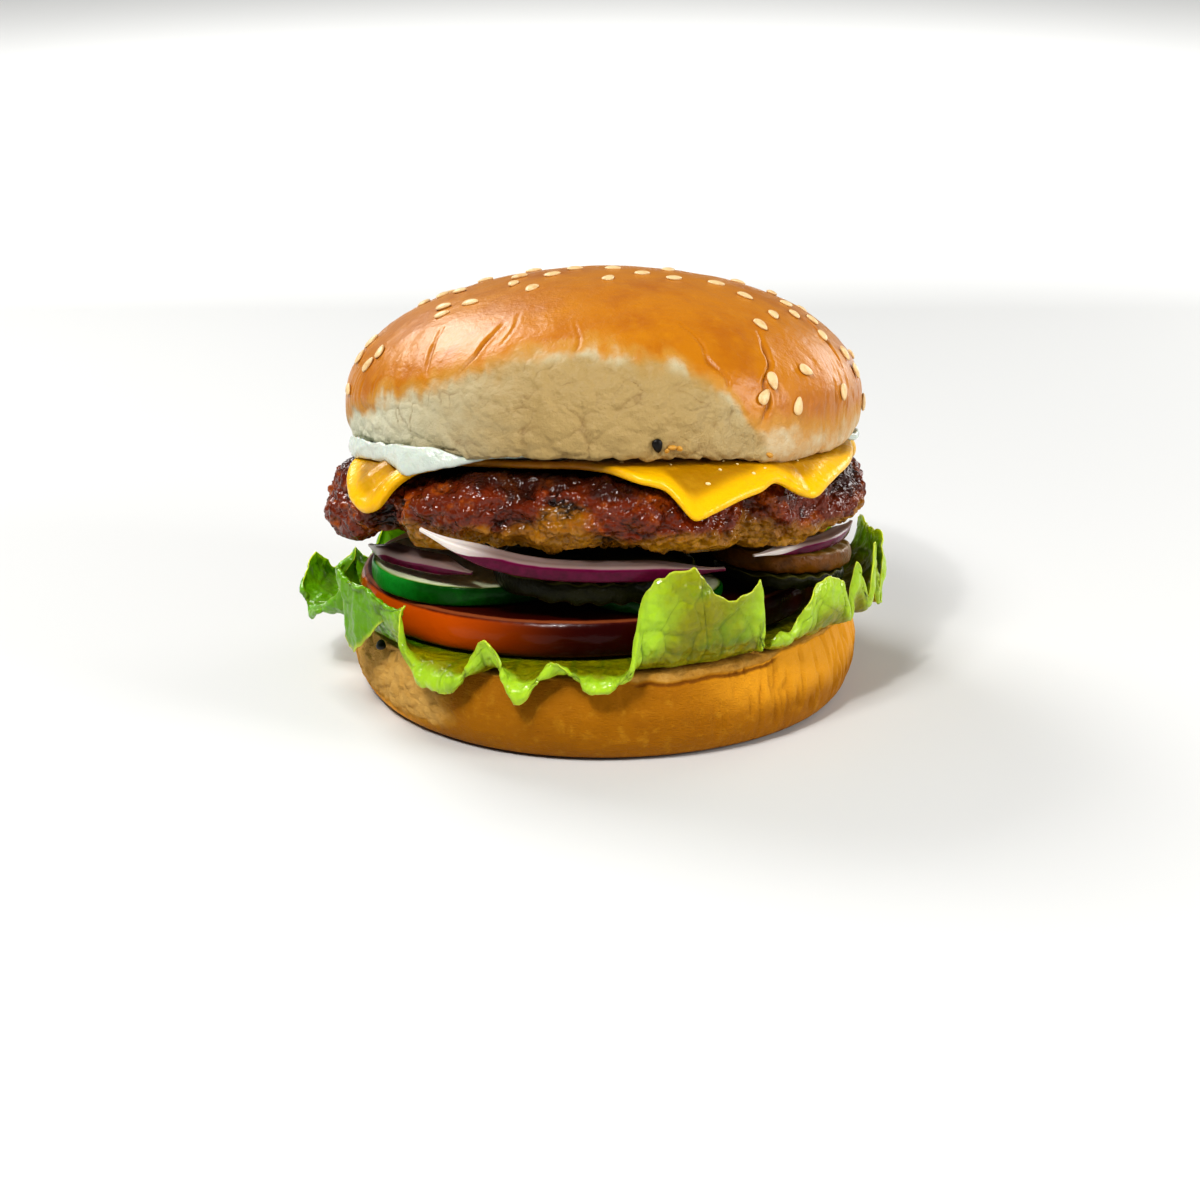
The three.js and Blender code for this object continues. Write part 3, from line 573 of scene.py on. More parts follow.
# Red onion: wet, glassy flesh with a purple outer skin.
# Its flesh is painted greyish as painted shade, white only at the strip's first end as painted light, and
# its purple is darkened as painted shade inside the stack.
RED_ONION = Finish(
    name="red_onion_cut", colour="84706a", roughness=0.24, ior=1.4, inner_mm=1.5, inner_share=0.15,
    shine=0.15, wet=0.2, wet_roughness=0.08,
    tints=(
        # Painted light: the flesh is white only at the strip's first end.
        Tint("d8cfc8", mask="tip", low=0.1, high=0.9),
        Tint("7c3c56", mask="purple", low=0.12, high=0.45),
        Tint("5a0630", mask="purple", spot_mm=3.0, low=0.35, high=0.7, spread=0.25),
        Tint("2c0412", mask="purple", spot_mm=2.0, low=0.9, high=1.2, spread=0.4),
    ),
    reliefs=(FineRelief(1.5, 0.08, stretch=(3.0, 3.0, 0.7)),),
)

# Cucumber: waxy dark green rind round pale, watery flesh.
# Its rind is painted darker as painted shade inside the stack, with the left slice's lit side painted
# brighter green as painted light.
CUCUMBER = Finish(
    name="cucumber_cut", colour="034204", roughness=0.28, ior=1.4, shine=0.12, wet=0.15,
    wet_roughness=0.1, wet_ior=1.4,
    tints=(
        Tint("146410", spot_mm=3.5, low=0.5, high=0.8, share=0.6),
        # Painted light on the slice's lit side.
        Tint("1f9a30", mask="ripe", spot_mm=3.0, low=0.2, high=1.0, spread=0.4),
        Tint("a4c45c", mask="flesh", low=0.1, high=0.5),
        Tint("eef4cc", mask="flesh", low=0.5, high=1.0),
    ),
    reliefs=(FineRelief(2.0, 0.15), FineRelief(0.8, 0.08)),
)

# Pickled cucumber: olive, softened by brine, wet.
# Its colour is darkened nearly black as painted shade deep in the stack.
PICKLE = Finish(
    name="pickled_cucumber_cut", colour="191803", roughness=0.32, ior=1.4, shine=0.12, wet=0.15,
    wet_roughness=0.12, wet_ior=1.4,
    tints=(
        Tint("0b0a02", spot_mm=2.5, low=0.45, high=0.75, share=0.8),
        Tint("3a370c", mask="flesh", spot_mm=3.0, low=0.2, high=0.8, spread=0.4),
        Tint("5c5a26", mask="rim", low=0.4, high=1.0, share=0.6),
    ),
    reliefs=(FineRelief(1.2, 0.3), FineRelief(0.5, 0.1)),
)

# The uppermost pickle slice, against the meat: the same pickle painted lighter and browner, as painted
# light.
WARM_PICKLE = Finish(
    name="pickled_cucumber_warmed", colour="6e4002", roughness=0.32, ior=1.4, shine=0.25, wet=0.25,
    wet_roughness=0.12, wet_ior=1.4,
    tints=(
        Tint("3c1f02", spot_mm=2.5, low=0.45, high=0.75, share=0.7),
        Tint("8a6a20", mask="flesh", spot_mm=3.0, low=0.2, high=0.8, spread=0.4),
        Tint("8a6a26", mask="rim", low=0.4, high=1.0, share=0.5),
    ),
    reliefs=(FineRelief(1.2, 0.25), FineRelief(0.5, 0.08)),
)

# Tomato: taut glossy skin at the side, wet flesh on the cut faces.
# Its base is painted nearly black as painted shade under the patty, and its left side orange as painted
# light.
TOMATO = Finish(
    name="tomato_cut", colour="300201", roughness=0.22, ior=1.42, shine=0.12, wet=0.2,
    wet_roughness=0.08, wet_ior=1.35,
    tints=(
        # Painted light: the left side is orange.
        Tint("c65402", mask="ripe", low=0.0, high=1.0, share=0.95),
        Tint("460c04", mask="flesh", spot_mm=5.0, low=0.3, high=0.9, spread=0.5, roughness=0.35),
        # Thin pale line at the top edge: partly the cut edge of the skin, partly a painted highlight.
        Tint("b8683a", mask="rim", low=0.8, high=1.0, share=0.5),
    ),
    reliefs=(FineRelief(7.0, 0.12), FineRelief(1.0, 0.1, mask="flesh")),
)

# Lettuce: thin crisp leaf, satin with a waxy shine, light coming through at the frills.
# Its frills are painted brighter, partly their own lime colour and partly painted light; the broad lobe
# and the part under the tomato are painted darker as painted shade.
LETTUCE = Finish(
    name="lettuce_leaf_fresh", colour="848200", roughness=0.34, ior=1.42, inner_mm=2.5,
    inner_share=0.6, inner_colours=(0.9, 1.0, 0.15), shine=0.2, wet=0.5, wet_roughness=0.08,
    wet_ior=1.45,
    tints=(
        Tint("4a7602", spot_mm=7.0, low=0.5, high=0.75, share=0.6),
        # Painted shade on the flat part that lies under the tomato.
        Tint("4f7a04", mask="heart", low=0.2, high=1.0, share=0.7),
        # Frills: partly their own lime colour, partly painted light.
        Tint("a8d030", mask="frill", spot_mm=5.0, low=0.1, high=0.8, spread=0.5, share=0.9),
        Tint("5a9800", mask="green", spot_mm=6.0, low=0.1, high=0.9, spread=0.5, share=0.85),
        Tint("d2e848", mask="edge", low=0.6, high=1.0, share=0.75),
        Tint("4c6202", mask="vein", low=0.25, high=0.9, share=0.6),
    ),
    reliefs=(FineRelief(2.6, 0.9, detail=1.5), FineRelief(1.1, 0.2, detail=1.5)),
)


# ------------------------------------------------------------------- meshes


def grid_normals(grid: Array, closed: bool = True) -> Array:
    """Unit normals of a grid of points, outwards where rows rise and bearings grow.

    Args:
        grid: Points by row and column.
        closed: Whether the last column meets the first.

    Returns:
        One normal for each point.
    """
    along = np.roll(grid, -1, 1) - np.roll(grid, 1, 1) if closed else np.gradient(grid, axis=1)
    across = np.gradient(grid, axis=0)
    normal = np.cross(along, across)
    return normal / np.maximum(np.linalg.norm(normal, axis=-1, keepdims=True), 1e-9)


def pushed(grid: Array, relief: Array, closed: bool = True) -> Array:
    """Grid of points moved out along its normals by a relief."""
    return grid + grid_normals(grid, closed) * relief[..., None]


def add_object(name: str, data: bpy.types.ID) -> bpy.types.Object:
    """Object of a mesh, a light or a camera, linked to the scene."""
    thing = bpy.data.objects.new(name, data)
    bpy.context.scene.collection.objects.link(thing)
    return thing


def mesh_object(
    name: str, points: Array, faces: list[list[int]], finish: Finish, masks: Masks
) -> bpy.types.Object:
    """Smooth mesh object in metres.

    Args:
        name: The piece's name.
        points: Vertices in millimetres.
        faces: Vertex numbers of each face.
        finish: Its surface.
        masks: One value for each vertex, by attribute name.

    Returns:
        The object, at the origin.
    """
    mesh = bpy.data.meshes.new(name)
    mesh.from_pydata((points * MM).tolist(), [], faces)
    for key, values in masks.items():
        mesh.attributes.new(key, "FLOAT", "POINT").data.foreach_set("value", values.astype(np.float32))
    mesh.materials.append(finish.material())
    mesh.shade_smooth()
    mesh.validate()
    return add_object(name, mesh)


def closed_body(name: str, grid: Array, finish: Finish, masks: Masks) -> bpy.types.Object:
    """Body from rings of points, with each end closed at the middle of its ring.

    Args:
        name: The piece's name.
        grid: Rings from the underside up, points by ring and bearing.
        finish: Its surface.
        masks: One value for each point of the grid, by attribute name; cut off at 0 and 1.

    Returns:
        The object.
    """
    rows, columns = grid.shape[:2]
    points = np.vstack([grid.reshape(-1, 3), grid[0].mean(0), grid[-1].mean(0)])
    ring = np.arange(columns)
    after = np.roll(ring, -1)
    base = (np.arange(rows - 1) * columns)[:, None]
    quads = np.stack([base + ring, base + after, base + columns + after, base + columns + ring], -1)
    top = (rows - 1) * columns
    under = stacked(rows * columns, after, ring)
    over = stacked(rows * columns + 1, top + ring, top + after)
    faces = quads.reshape(-1, 4).tolist() + under.tolist() + over.tolist()
    spread = {}
    for key, values in masks.items():
        cut = np.clip(values, 0, 1)
        spread[key] = np.concatenate([cut.ravel(), [cut[0].mean(), cut[-1].mean()]])
    return mesh_object(name, points, faces, finish, spread)


def thin_sheet(name: str, grid: Array, half: Array, finish: Finish, masks: Masks) -> bpy.types.Object:
    """Closed thin sheet round a grid of points.

    Args:
        name: The piece's name.
        grid: Points of its middle, by row and column.
        half: Half its thickness at each point.
        finish: Its surface.
        masks: One value for each point, by attribute name; cut off at 0 and 1.

    Returns:
        The object.
    """
    rows, columns = grid.shape[:2]
    points = np.concatenate([pushed(grid, half, closed=False), pushed(grid, -half, closed=False)])
    count = rows * columns
    at = np.arange(count).reshape(rows, columns)
    quads = np.stack([at[:-1, :-1], at[:-1, 1:], at[1:, 1:], at[1:, :-1]], -1).reshape(-1, 4)
    border = np.concatenate([at[0, :-1], at[:-1, -1], at[-1, :0:-1], at[:0:-1, 0]])
    after = np.roll(border, -1)
    rim = np.stack([after, border, border + count, after + count], -1)
    faces = quads.tolist() + (quads[:, ::-1] + count).tolist() + rim.tolist()
    doubled = {key: np.tile(np.clip(values, 0, 1).ravel(), 2) for key, values in masks.items()}
    return mesh_object(name, points.reshape(-1, 3), faces, finish, doubled)


def rounded_rim(rings: Sequence[float], rim: Array, rounding: float, rows: int) -> tuple[Array, Array]:
    """Rings of a flat round body, from the middle of its underside over its rim to its top.

    Args:
        rings: Rings on each face, as shares of its flat part.
        rim: Reach of the rim at each bearing.
        rounding: How far the rim is rounded.
        rows: Number of rings round the rim.

    Returns:
        Reach of each ring at each bearing, and its level from 0 below to 1 above.
    """
    slant = math.pi * (np.linspace(0.0, 1.0, rows)[:, None] - 0.5)
    face = np.array(rings)[:, None] * (rim - rounding)
    reach = np.concatenate([face, rim - rounding * (1 - np.cos(slant)), face[::-1]])
    flat = np.zeros((len(rings), 1))
    return reach, np.concatenate([flat, 0.5 + 0.5 * np.sin(slant), flat + 1])


@dataclass(frozen=True)
class Plane:
    """Sloping plane: its height in the middle and its slopes to the right and to the back."""

    height: float
    slope_x: float
    slope_y: float

    def over(self, points: Array) -> Array:
        """Its height above or below each point."""
        return self.height + self.slope_x * points[..., 0] + self.slope_y * points[..., 1]


@dataclass(frozen=True)
class Lean:
    """Lean of the patty and all that is on it."""

    back: float = 9.5
    left: float = 0.9
    shift: float = 0.6
    height: float = 30.8

    def matrix(self) -> Matrix:
        """Turn and shift of the leaning stack, in millimetres."""
        back = Matrix.Rotation(-math.radians(self.back), 4, "X")
        left = Matrix.Rotation(-math.radians(self.left), 4, "Y")
        return Matrix.Translation((self.shift, 0.0, self.height)) @ (back @ left)

    def placed(self, points: Array) -> Array:
        """Points moved from the upright to the leaning stack."""
        matrix = np.array(self.matrix())
        return points @ matrix[:3, :3].T + matrix[:3, 3]


LEAN = Lean()
HEEL_CUT = Plane(14.9, 0.035, -0.035)
AIR = 0.35
PATTY_THICKNESS = 15.4
CHEESE_THICKNESS = 1.5
CHEESE_UNDERSIDE = PATTY_THICKNESS + AIR
CHEESE_TOP = CHEESE_UNDERSIDE + CHEESE_THICKNESS
CROWN_BASE = CHEESE_TOP + 1.4


# ------------------------------------------------------------------- pieces


class Slot(StrEnum):
    """Material slots of the record."""

    BREAD = "bread"
    LETTUCE = "lettuce"
    TOMATO = "tomato"
    CUCUMBER = "cucumber"
    PICKLE = "pickle"
    ONION = "onion"
    BEEF = "beef"
    CHEESE = "cheese"
    MAYONNAISE = "mayonnaise"


@dataclass
class HeelBun:
    """Heel of the bun: a flat foot, a round side and a cut face that is higher in front.

    Attributes:
        cut_rings: Radius of a ring on the foot and of one on the cut face.
        unevenness: Count, size and phase of each wave in its outline.
        torn: Bearings between which the side is torn.
        bare: Bearings between which a strip of crumb shows below the cut.
        wrinkled: Bearings over which the wrinkles set in at the front and fade behind.
        fold: Depth and half width of the crease under the strip of crumb.
    """

    node: str = "heel_bun"
    slot: Slot = Slot.BREAD
    foot_radius: float = 45.8
    widest_radius: float = 50.2
    widest_height: float = 8.2
    cut_radius: float = 48.4
    cut_rounding: float = 1.3
    cut_rings: tuple[float, float] = (25.0, 30.0)
    front_step: float = 0.62
    back_step: float = 1.8
    side_rows: int = 92
    unevenness: Rows = ((2, 0.45, 0.6), (3, 0.3, 2.1), (5, 0.2, 4.0))
    torn: tuple[float, float] = (-84.0, -37.0)
    bare: tuple[float, float] = (4.0, 44.0)
    wrinkled: tuple[float, float, float, float] = (14, 34, 125, 80)
    fold: tuple[float, float] = (0.5, 0.35)
    patches: Lumps = Lumps(1.0, 6.0, 11)
    ragged: Lumps = Lumps(0.7, 4.0, 12)
    wrinkles: Lumps = Lumps(1.0, 1.7, 21, 3)
    swells: tuple[Lumps, ...] = (Lumps(0.35, 9.0, 31), Lumps(0.12, 2.2, 41))
    pores: Lumps = Lumps(0.35, 1.6, 61)
    pore_size: float = 2.6
    pore_seed: int = 51

    def _profile(self, bearing: Array) -> Array:
        """Knots of the side, from the foot's edge up to the cut.

        Args:
            bearing: Bearings of the profile, in degrees.

        Returns:
            Reach and height of each knot at each bearing.
        """
        cut = HEEL_CUT.over(round_points(bearing, self.cut_radius, 0.0))
        shoulder = cut - self.cut_rounding
        knots = []
        for angle in (0, 30, 60, 90):
            slant = math.radians(angle)
            reach = self.foot_radius + (self.widest_radius - self.foot_radius) * math.sin(slant)
            knots.append((reach, self.widest_height * (1 - math.cos(slant))))
        middle = (self.widest_radius + self.cut_radius) / 2 + 0.3
        knots += [
            (middle, (self.widest_height + shoulder) / 2),
            (self.cut_radius, shoulder),
            (self.cut_radius - 0.45, cut - 0.3),
            (self.cut_radius - self.cut_rounding, cut),
        ]
        return np.array([stacked(reach, height + 0 * cut) for reach, height in knots])

    def build(self) -> bpy.types.Object:
        """The heel's mesh."""
        bearing = dense_bearings(self.front_step, self.back_step)
        side = spline(self._profile(bearing), self.side_rows)
        reach, height = side[..., 0], side[..., 1]
        uneven = waves(bearing, self.unevenness) * (reach / self.widest_radius) ** 2
        grid = round_points(bearing, reach + uneven, height)
        foot, inner = (round_points(bearing, radius, 0.0) for radius in self.cut_rings)
        inner[..., 2] = HEEL_CUT.over(inner)
        grid = np.concatenate([foot[None], grid, inner[None]])
        up = grid[..., 2]
        below = HEEL_CUT.over(grid) - up
        lifted = smooth(0.3, 2.5, up) * smooth(-0.2, 0.6, below)
        b = np.broadcast_to(bearing, grid.shape[:2])
        noise = self.patches.at(grid)
        start, end = self.torn
        torn = smooth(start, start + 8, b) * smooth(end + 5, end - 4, b + 5 * noise)
        torn = torn * smooth(1.5, 4.0, up + 2 * noise)
        start, end = self.bare
        along = smooth(start, start + 4, b) * smooth(end, end - 6, b)
        edge = 0.5 + 1.0 * along + self.ragged.at(grid)
        crumb = smooth(edge + 0.4, edge - 0.4, below)
        depth, width = self.fold
        fold = np.exp(-(((below - edge - 0.5) / width) ** 2)) * along
        relief, wrinkle = self._relief(grid, b, torn, crumb)
        relief = relief - depth * fold
        grid = pushed(grid, relief * lifted)
        up = grid[..., 2]
        # Upper right and back of the side, painted brighter as painted light.
        upper = smooth(3.0, 13.0, up) * np.maximum(smooth(8, 42, b), smooth(115, 165, np.abs(b)))
        masks = {
            "pale": 0.95 * torn + 0.7 * crumb + 0.12 * noise,
            "gold": upper + smooth(-30, -60, b) * smooth(-165, -115, b),
            # Painted shade in the wrinkles and the fold under the crumb strip, and darker along the foot.
            "seam": 0.8 * wrinkle * (1 - torn) + fold + smooth(1.6, 0.2, up) * 0.8,
            # Painted shade in the hollows of the torn patch and the crumb strip.
            "pit": smooth(0.35, 0.9, -relief) * np.maximum(torn, crumb),
        }
        return closed_body("heel_bun_crust", grid, HEEL_CRUST, masks)

    def _relief(self, grid: Array, b: Array, torn: Array, crumb: Array) -> tuple[Array, Array]:
        """Relief of the side, and how much painted shade its wrinkles get."""
        ridges = np.abs(self.wrinkles.at(stacked(b * 0.87, grid[..., 2] * 0.1, 0.0)))
        wrinkle = smooth(0.22, 0.0, ridges)
        start, full, end, fading = self.wrinkled
        right = smooth(start, full, b) * smooth(end, fading, b)
        strength = 0.1 + 0.55 * right * smooth(2.0, 7.0, grid[..., 2])
        soft = sum(swell.at(grid) for swell in self.swells)
        first, second = Grain.cells(grid, self.pore_size, self.pore_seed)
        porous = 0.55 * smooth(0.0, 0.35, second - first) - 0.5 + self.pores.at(grid)
        open_share = np.maximum(torn * 0.9, crumb * 0.6)
        relief = soft - strength * wrinkle * (1 - open_share) + porous * open_share
        return relief, wrinkle * (0.2 + 0.3 * right)


@dataclass
class LettuceLeaf:
    """Leaf that lies on the heel and ruffles out past its rim.

    Each edge row gives the bearing at the heel, the bearing at the edge, its reach and its height.

    Attributes:
        rolls: Bearing, width and reach of each place where the edge rolls outwards.
        flat_rings: Radius of each ring of points of the part that lies flat.
        lift: Height of its middle above the heel's cut.
        crest: Bearing, width and rise of a fold that stands up before the leaf hangs down.
        bright: How much of the frill's bright colour shows; that colour is partly painted light.
        plain: Bearing and width of the broad lobe, which is painted less bright than the frills, as
            painted shade.
    """

    node: str
    name: str
    edge: Rows
    seed: int
    rolls: Rows = ()
    slot: Slot = Slot.LETTUCE
    half_thickness: float = 0.34
    flat_rings: tuple[float, ...] = (9.0, 20.0, 30.0, 38.0, 42.0, 44.0)
    flat_radius: float = 45.5
    lift: float = 0.72
    bearing_step: float = 0.42
    ruffle_rows: int = 46
    crest: tuple[float, float, float] = (0.0, 1.0, 0.0)
    bright: float = 1.0
    plain: tuple[float, float] = (22.0, 20.0)
    net_size: float = 6.2
    small_net_size: float = 2.8
    rib_spacing: float = 13.0

    def _flat(self, bearing: Array, reach: float) -> Array:
        """Points of the part that lies on the heel."""
        spot = round_points(bearing, reach, 0.0)
        spot[..., 2] = HEEL_CUT.over(spot) + self.lift
        return spot

    def _ruffle(self, bearing: Array, t: Array) -> Array:
        """Ruffled part of the leaf, from where it leaves the heel to its edge.

        Args:
            bearing: Bearings of the columns, in degrees.
            t: Way outwards of each row, from 0 at the heel to 1 at the edge.

        Returns:
            Points by row and column.
        """
        turned, reach, height = (curve_through(self.edge, k)(bearing) for k in (1, 2, 3))
        base = self._flat(bearing, self.flat_radius)[..., 2]
        frill = stacked(bearing * 0.95, 0.0, self.seed)
        middle, width, rise = self.crest
        over = (base + 1.1 + height) / 2 + rise * hump(bearing, middle, width)
        x = self._bezier(t, self.flat_radius, np.maximum(reach - 0.4, 49.5), reach + 0.9, reach)
        z = self._bezier(t, base, base + 1.1, over, height)
        x = x + 1.1 * t**2.5 * Lumps(1.0, 3.0, self.seed, 3).at(frill)
        uneven = t**2 * smooth(98.0, 112.0, bearing)
        x = x + 1.4 * uneven * Lumps(1.0, 9.0, self.seed + 9, 2).at(frill)
        z = z + 4.0 * uneven * Lumps(1.0, 13.0, self.seed + 10, 2).at(frill)
        ragged = Lumps(1.2, 3.4, self.seed + 7, 3).at(frill) + Lumps(0.6, 1.5, self.seed + 8, 2).at(frill)
        z = z + t**3 * ragged
        for middle, width, out in self.rolls:
            roll = hump(bearing, middle, width) * smooth(0.82, 1.0, t)
            x = x + out * roll
            z = z - 0.2 * abs(out) * roll * roll
        return round_points(bearing + (turned - bearing) * t * t, x, z)

    def build(self) -> bpy.types.Object:
        """The leaf's mesh."""
        start, end = self.edge[0][0], self.edge[-1][0]
        bearing = np.linspace(start, end, int((end - start) / self.bearing_step))
        t = np.linspace(0.0, 1.0, self.ruffle_rows)[:, None]
        flats = [self._flat(bearing, radius)[None] for radius in self.flat_rings]
        grid = np.concatenate([*flats, self._ruffle(bearing, t)])
        u = np.broadcast_to(bearing * 0.95, grid.shape[:2])
        steps = np.linalg.norm(np.diff(grid, axis=0), axis=-1)
        v = np.concatenate([np.zeros((1, grid.shape[1])), np.cumsum(steps, 0)])
        free = np.concatenate([np.zeros((len(flats), 1)), t]) * np.ones_like(u)
        vein, relief = self._veins(u, v, free)
        grid = pushed(grid, relief, closed=False)
        half = self.half_thickness * (1 - 0.62 * smooth(0.84, 1.0, free)) * (1 + 0.3 * vein * (1 - free))
        noise = Lumps(1.0, 9.0, self.seed + 3).at(stacked(u, v, 0.0))
        green = smooth(-44.0, -58.0, bearing + 5.0 * noise)
        # Painted shade on the broad lobe, which keeps less of the frills' bright colour.
        dull = (1 - 0.85 * hump(bearing, *self.plain)) * (1 - 0.6 * green)
        masks = {
            "vein": vein * (1 - 0.4 * free),
            "frill": self.bright * smooth(0.2, 0.75, free + 0.2 * noise) * dull,
            "green": green,
            "edge": smooth(0.955, 1.0, free),
            # Painted shade on the flat part that lies under the tomato.
            "heart": smooth(41.0, 30.0, np.hypot(grid[..., 0], grid[..., 1]) + 3 * noise),
        }
        return thin_sheet(self.name, grid, half, LETTUCE, masks)

    @staticmethod
    def _bezier(t: Array, a: Numbers, b: Numbers, c: Numbers, d: Numbers) -> Array:
        """Values of a cubic curve with four control values."""
        return a * (1 - t) ** 3 + 3 * b * t * (1 - t) ** 2 + 3 * c * t * t * (1 - t) + d * t**3

    def _veins(self, u: Array, v: Array, free: Array) -> tuple[Array, Array]:
        """Where the veins run, and the relief they and the blisters between them make."""
        flat = stacked(u, v, 3.0 * self.seed)
        bend = stacked(*(Grain.value(flat, 5.0, k) for k in (1, 2, 3)))
        bent = flat * np.array([1.0, 0.7, 1.0]) + 1.2 * bend
        first, second = Grain.cells(bent, self.net_size, self.seed + 20)
        small_first, small_second = Grain.cells(bent, self.small_net_size, self.seed + 21)
        small_net = 0.55 * smooth(0.14, 0.01, small_second - small_first)
        net = np.maximum(smooth(0.12, 0.01, second - first), small_net)
        from_rib = np.abs((u / self.rib_spacing + 0.06 * np.sin(v * 0.25)) % 1.0 - 0.5)
        vein = np.maximum(net * 0.8, smooth(0.06, 0.01, from_rib / (1.3 - free)))
        crinkle = 0.5 * smooth(0.8, 0.0, first) + 0.2 * smooth(0.8, 0.0, small_first)
        crinkle = crinkle + 0.25 * Grain.value(flat, 3.0, 9)
        relief = (1.3 * crinkle - 0.4 * vein) * smooth(0.0, 0.25, free) * (1 - 0.3 * free)
        return vein, relief


@dataclass
class FlatSlice:
    """Slice between two planes, with a rind round it.

    Attributes:
        edge: Rounding of its rim.
        radius_y: Its radius to the front and back, if not the same as to the sides.
        ridge: Height and spacing of the waves a crinkle knife leaves; 0 for none.
        ripe: Bearing and width of its brightest side, painted brighter as painted light.
        uneven: Size of the waves in its outline, as a share of its radius.
        face_rings: Radius of each ring on its faces, as a share.
    """

    node: str
    name: str
    slot: Slot
    finish: Finish
    x: float
    y: float
    radius: float
    bottom: Plane
    top: Plane
    edge: float
    seed: int
    radius_y: float = 0.0
    ridge: tuple[float, float] = (0.0, 1.0)
    rind: float = 0.9
    ripe: tuple[float, float] | None = None
    uneven: float = 0.012
    face_rings: tuple[float, ...] = (0.3, 0.55, 0.75, 0.86, 0.92, 0.96, 0.985)
    rim_rows: int = 26
    step: float = 0.5
    fewest_steps: int = 150

    def build(self) -> bpy.types.Object:
        """The slice's mesh."""
        steps = int(max(self.fewest_steps, 2 * math.pi * self.radius / self.step))
        bearing = np.arange(steps) * 360.0 / steps
        angle = np.radians(bearing)
        deep = self.radius_y or self.radius
        rim = 1 / np.hypot(np.sin(angle) / self.radius, np.cos(angle) / deep)
        rim = rim * (1 + self.uneven * np.sin(3 * angle + self.x))
        reach, levels = rounded_rim(self.face_rings, rim, self.edge, self.rim_rows)
        flat = round_points(bearing, reach, 0.0)
        flat[..., 0] += self.x
        flat[..., 1] += self.y
        low, high = self.bottom.over(flat), self.top.over(flat)
        size, spacing = self.ridge
        wave = size * np.sin(2 * math.pi * (flat[..., 0] * 0.86 + flat[..., 1] * 0.5) / spacing)
        flat[..., 2] = low + levels * (high - low) + wave * (2 * np.abs(levels - 0.5))
        noise = Lumps(1.0, 4.0, self.seed).at(flat)
        grid = pushed(flat, 0.14 * noise + Lumps(0.06, 1.3, self.seed + 5).at(flat))
        inner = rim - reach
        on_face = smooth(0.5, 1.0, np.abs(2 * levels - 1)) * smooth(0.25, self.rind + 0.3, inner)
        masks = {
            "flesh": on_face + 0.1 * noise * on_face,
            "rim": smooth(0.8, 0.97, levels) * smooth(self.edge * 1.3, self.edge * 0.7, inner),
        }
        # The lit side is painted brighter as painted light.
        if self.ripe:
            masks["ripe"] = hump(np.broadcast_to(bearing, inner.shape), *self.ripe)
        return closed_body(self.name, grid, self.finish, masks)


@dataclass
class OnionStrip:
    """Strip of red onion: a curved wall, purple outside and below, white above.

    Attributes:
        path: Points along its outer side.
        rise: How much higher its inner side is.
        purple_top: Level up to which it is purple, from -0.5 below to 0.5 above.
        taper: Share of its length over which each end narrows.
    """

    node: str
    name: str
    path: Rows
    height: float
    width: float
    rise: float
    seed: int
    slot: Slot = Slot.ONION
    purple_top: float = 0.4
    taper: float = 0.28
    rows: int = 170
    columns: int = 44

    def _section(self) -> Array:
        """Closed outline across the strip: how far in and how far up."""
        h, w, r = self.height / 2, self.width, self.rise
        outer = [[0.0, -h], [-0.35, 0.0], [0.0, h]]
        inner = [[w * 0.5, h + r * 0.6], [w, h + r], [w * 0.8, r - h], [w * 0.4, r / 2 - h]]
        return spline(np.array(outer + inner), self.columns, closed=True)

    def build(self) -> bpy.types.Object:
        """The strip's mesh."""
        line = spline(np.array(self.path), self.rows)
        t = np.linspace(0.0, 1.0, self.rows)
        tangent = np.gradient(line, axis=0)
        tangent /= np.linalg.norm(tangent, axis=-1, keepdims=True)
        inwards = np.cross((0.0, 0.0, 1.0), tangent)
        inwards /= np.linalg.norm(inwards, axis=-1, keepdims=True)
        size = (0.2 + 0.8 * smooth(0.0, self.taper, np.minimum(t, 1 - t)))[:, None, None]
        section = self._section()
        across, above = section[:, 0], section[:, 1]
        upwards = np.array([0.0, 0.0, 1.0]) * (above[None, :, None] * size)
        grid = line[:, None] + inwards[:, None] * (across[None, :, None] * size) + upwards
        noise = Lumps(1.0, 1.6, self.seed).at(grid * np.array([0.25, 0.25, 1.0]))
        grid = pushed(grid, 0.07 * noise)
        outer = smooth(self.width * 0.55, 0.0, across)
        purple_top = -0.7 + (self.purple_top + 0.7) * smooth(0.04, 0.34, t)[:, None]
        skin = smooth(0.1, -0.12, above / self.height + 0.1 * noise - purple_top)
        masks = {
            "purple": 0.15 + 0.85 * skin * (0.55 + 0.45 * outer) - 0.1 * (1 - skin),
            # Painted light at the strip's first end; the rest of the flesh stays in painted shade.
            "tip": smooth(0.42, 0.02, t)[:, None] * np.ones_like(noise),
        }
        return closed_body(self.name, grid, RED_ONION, masks)


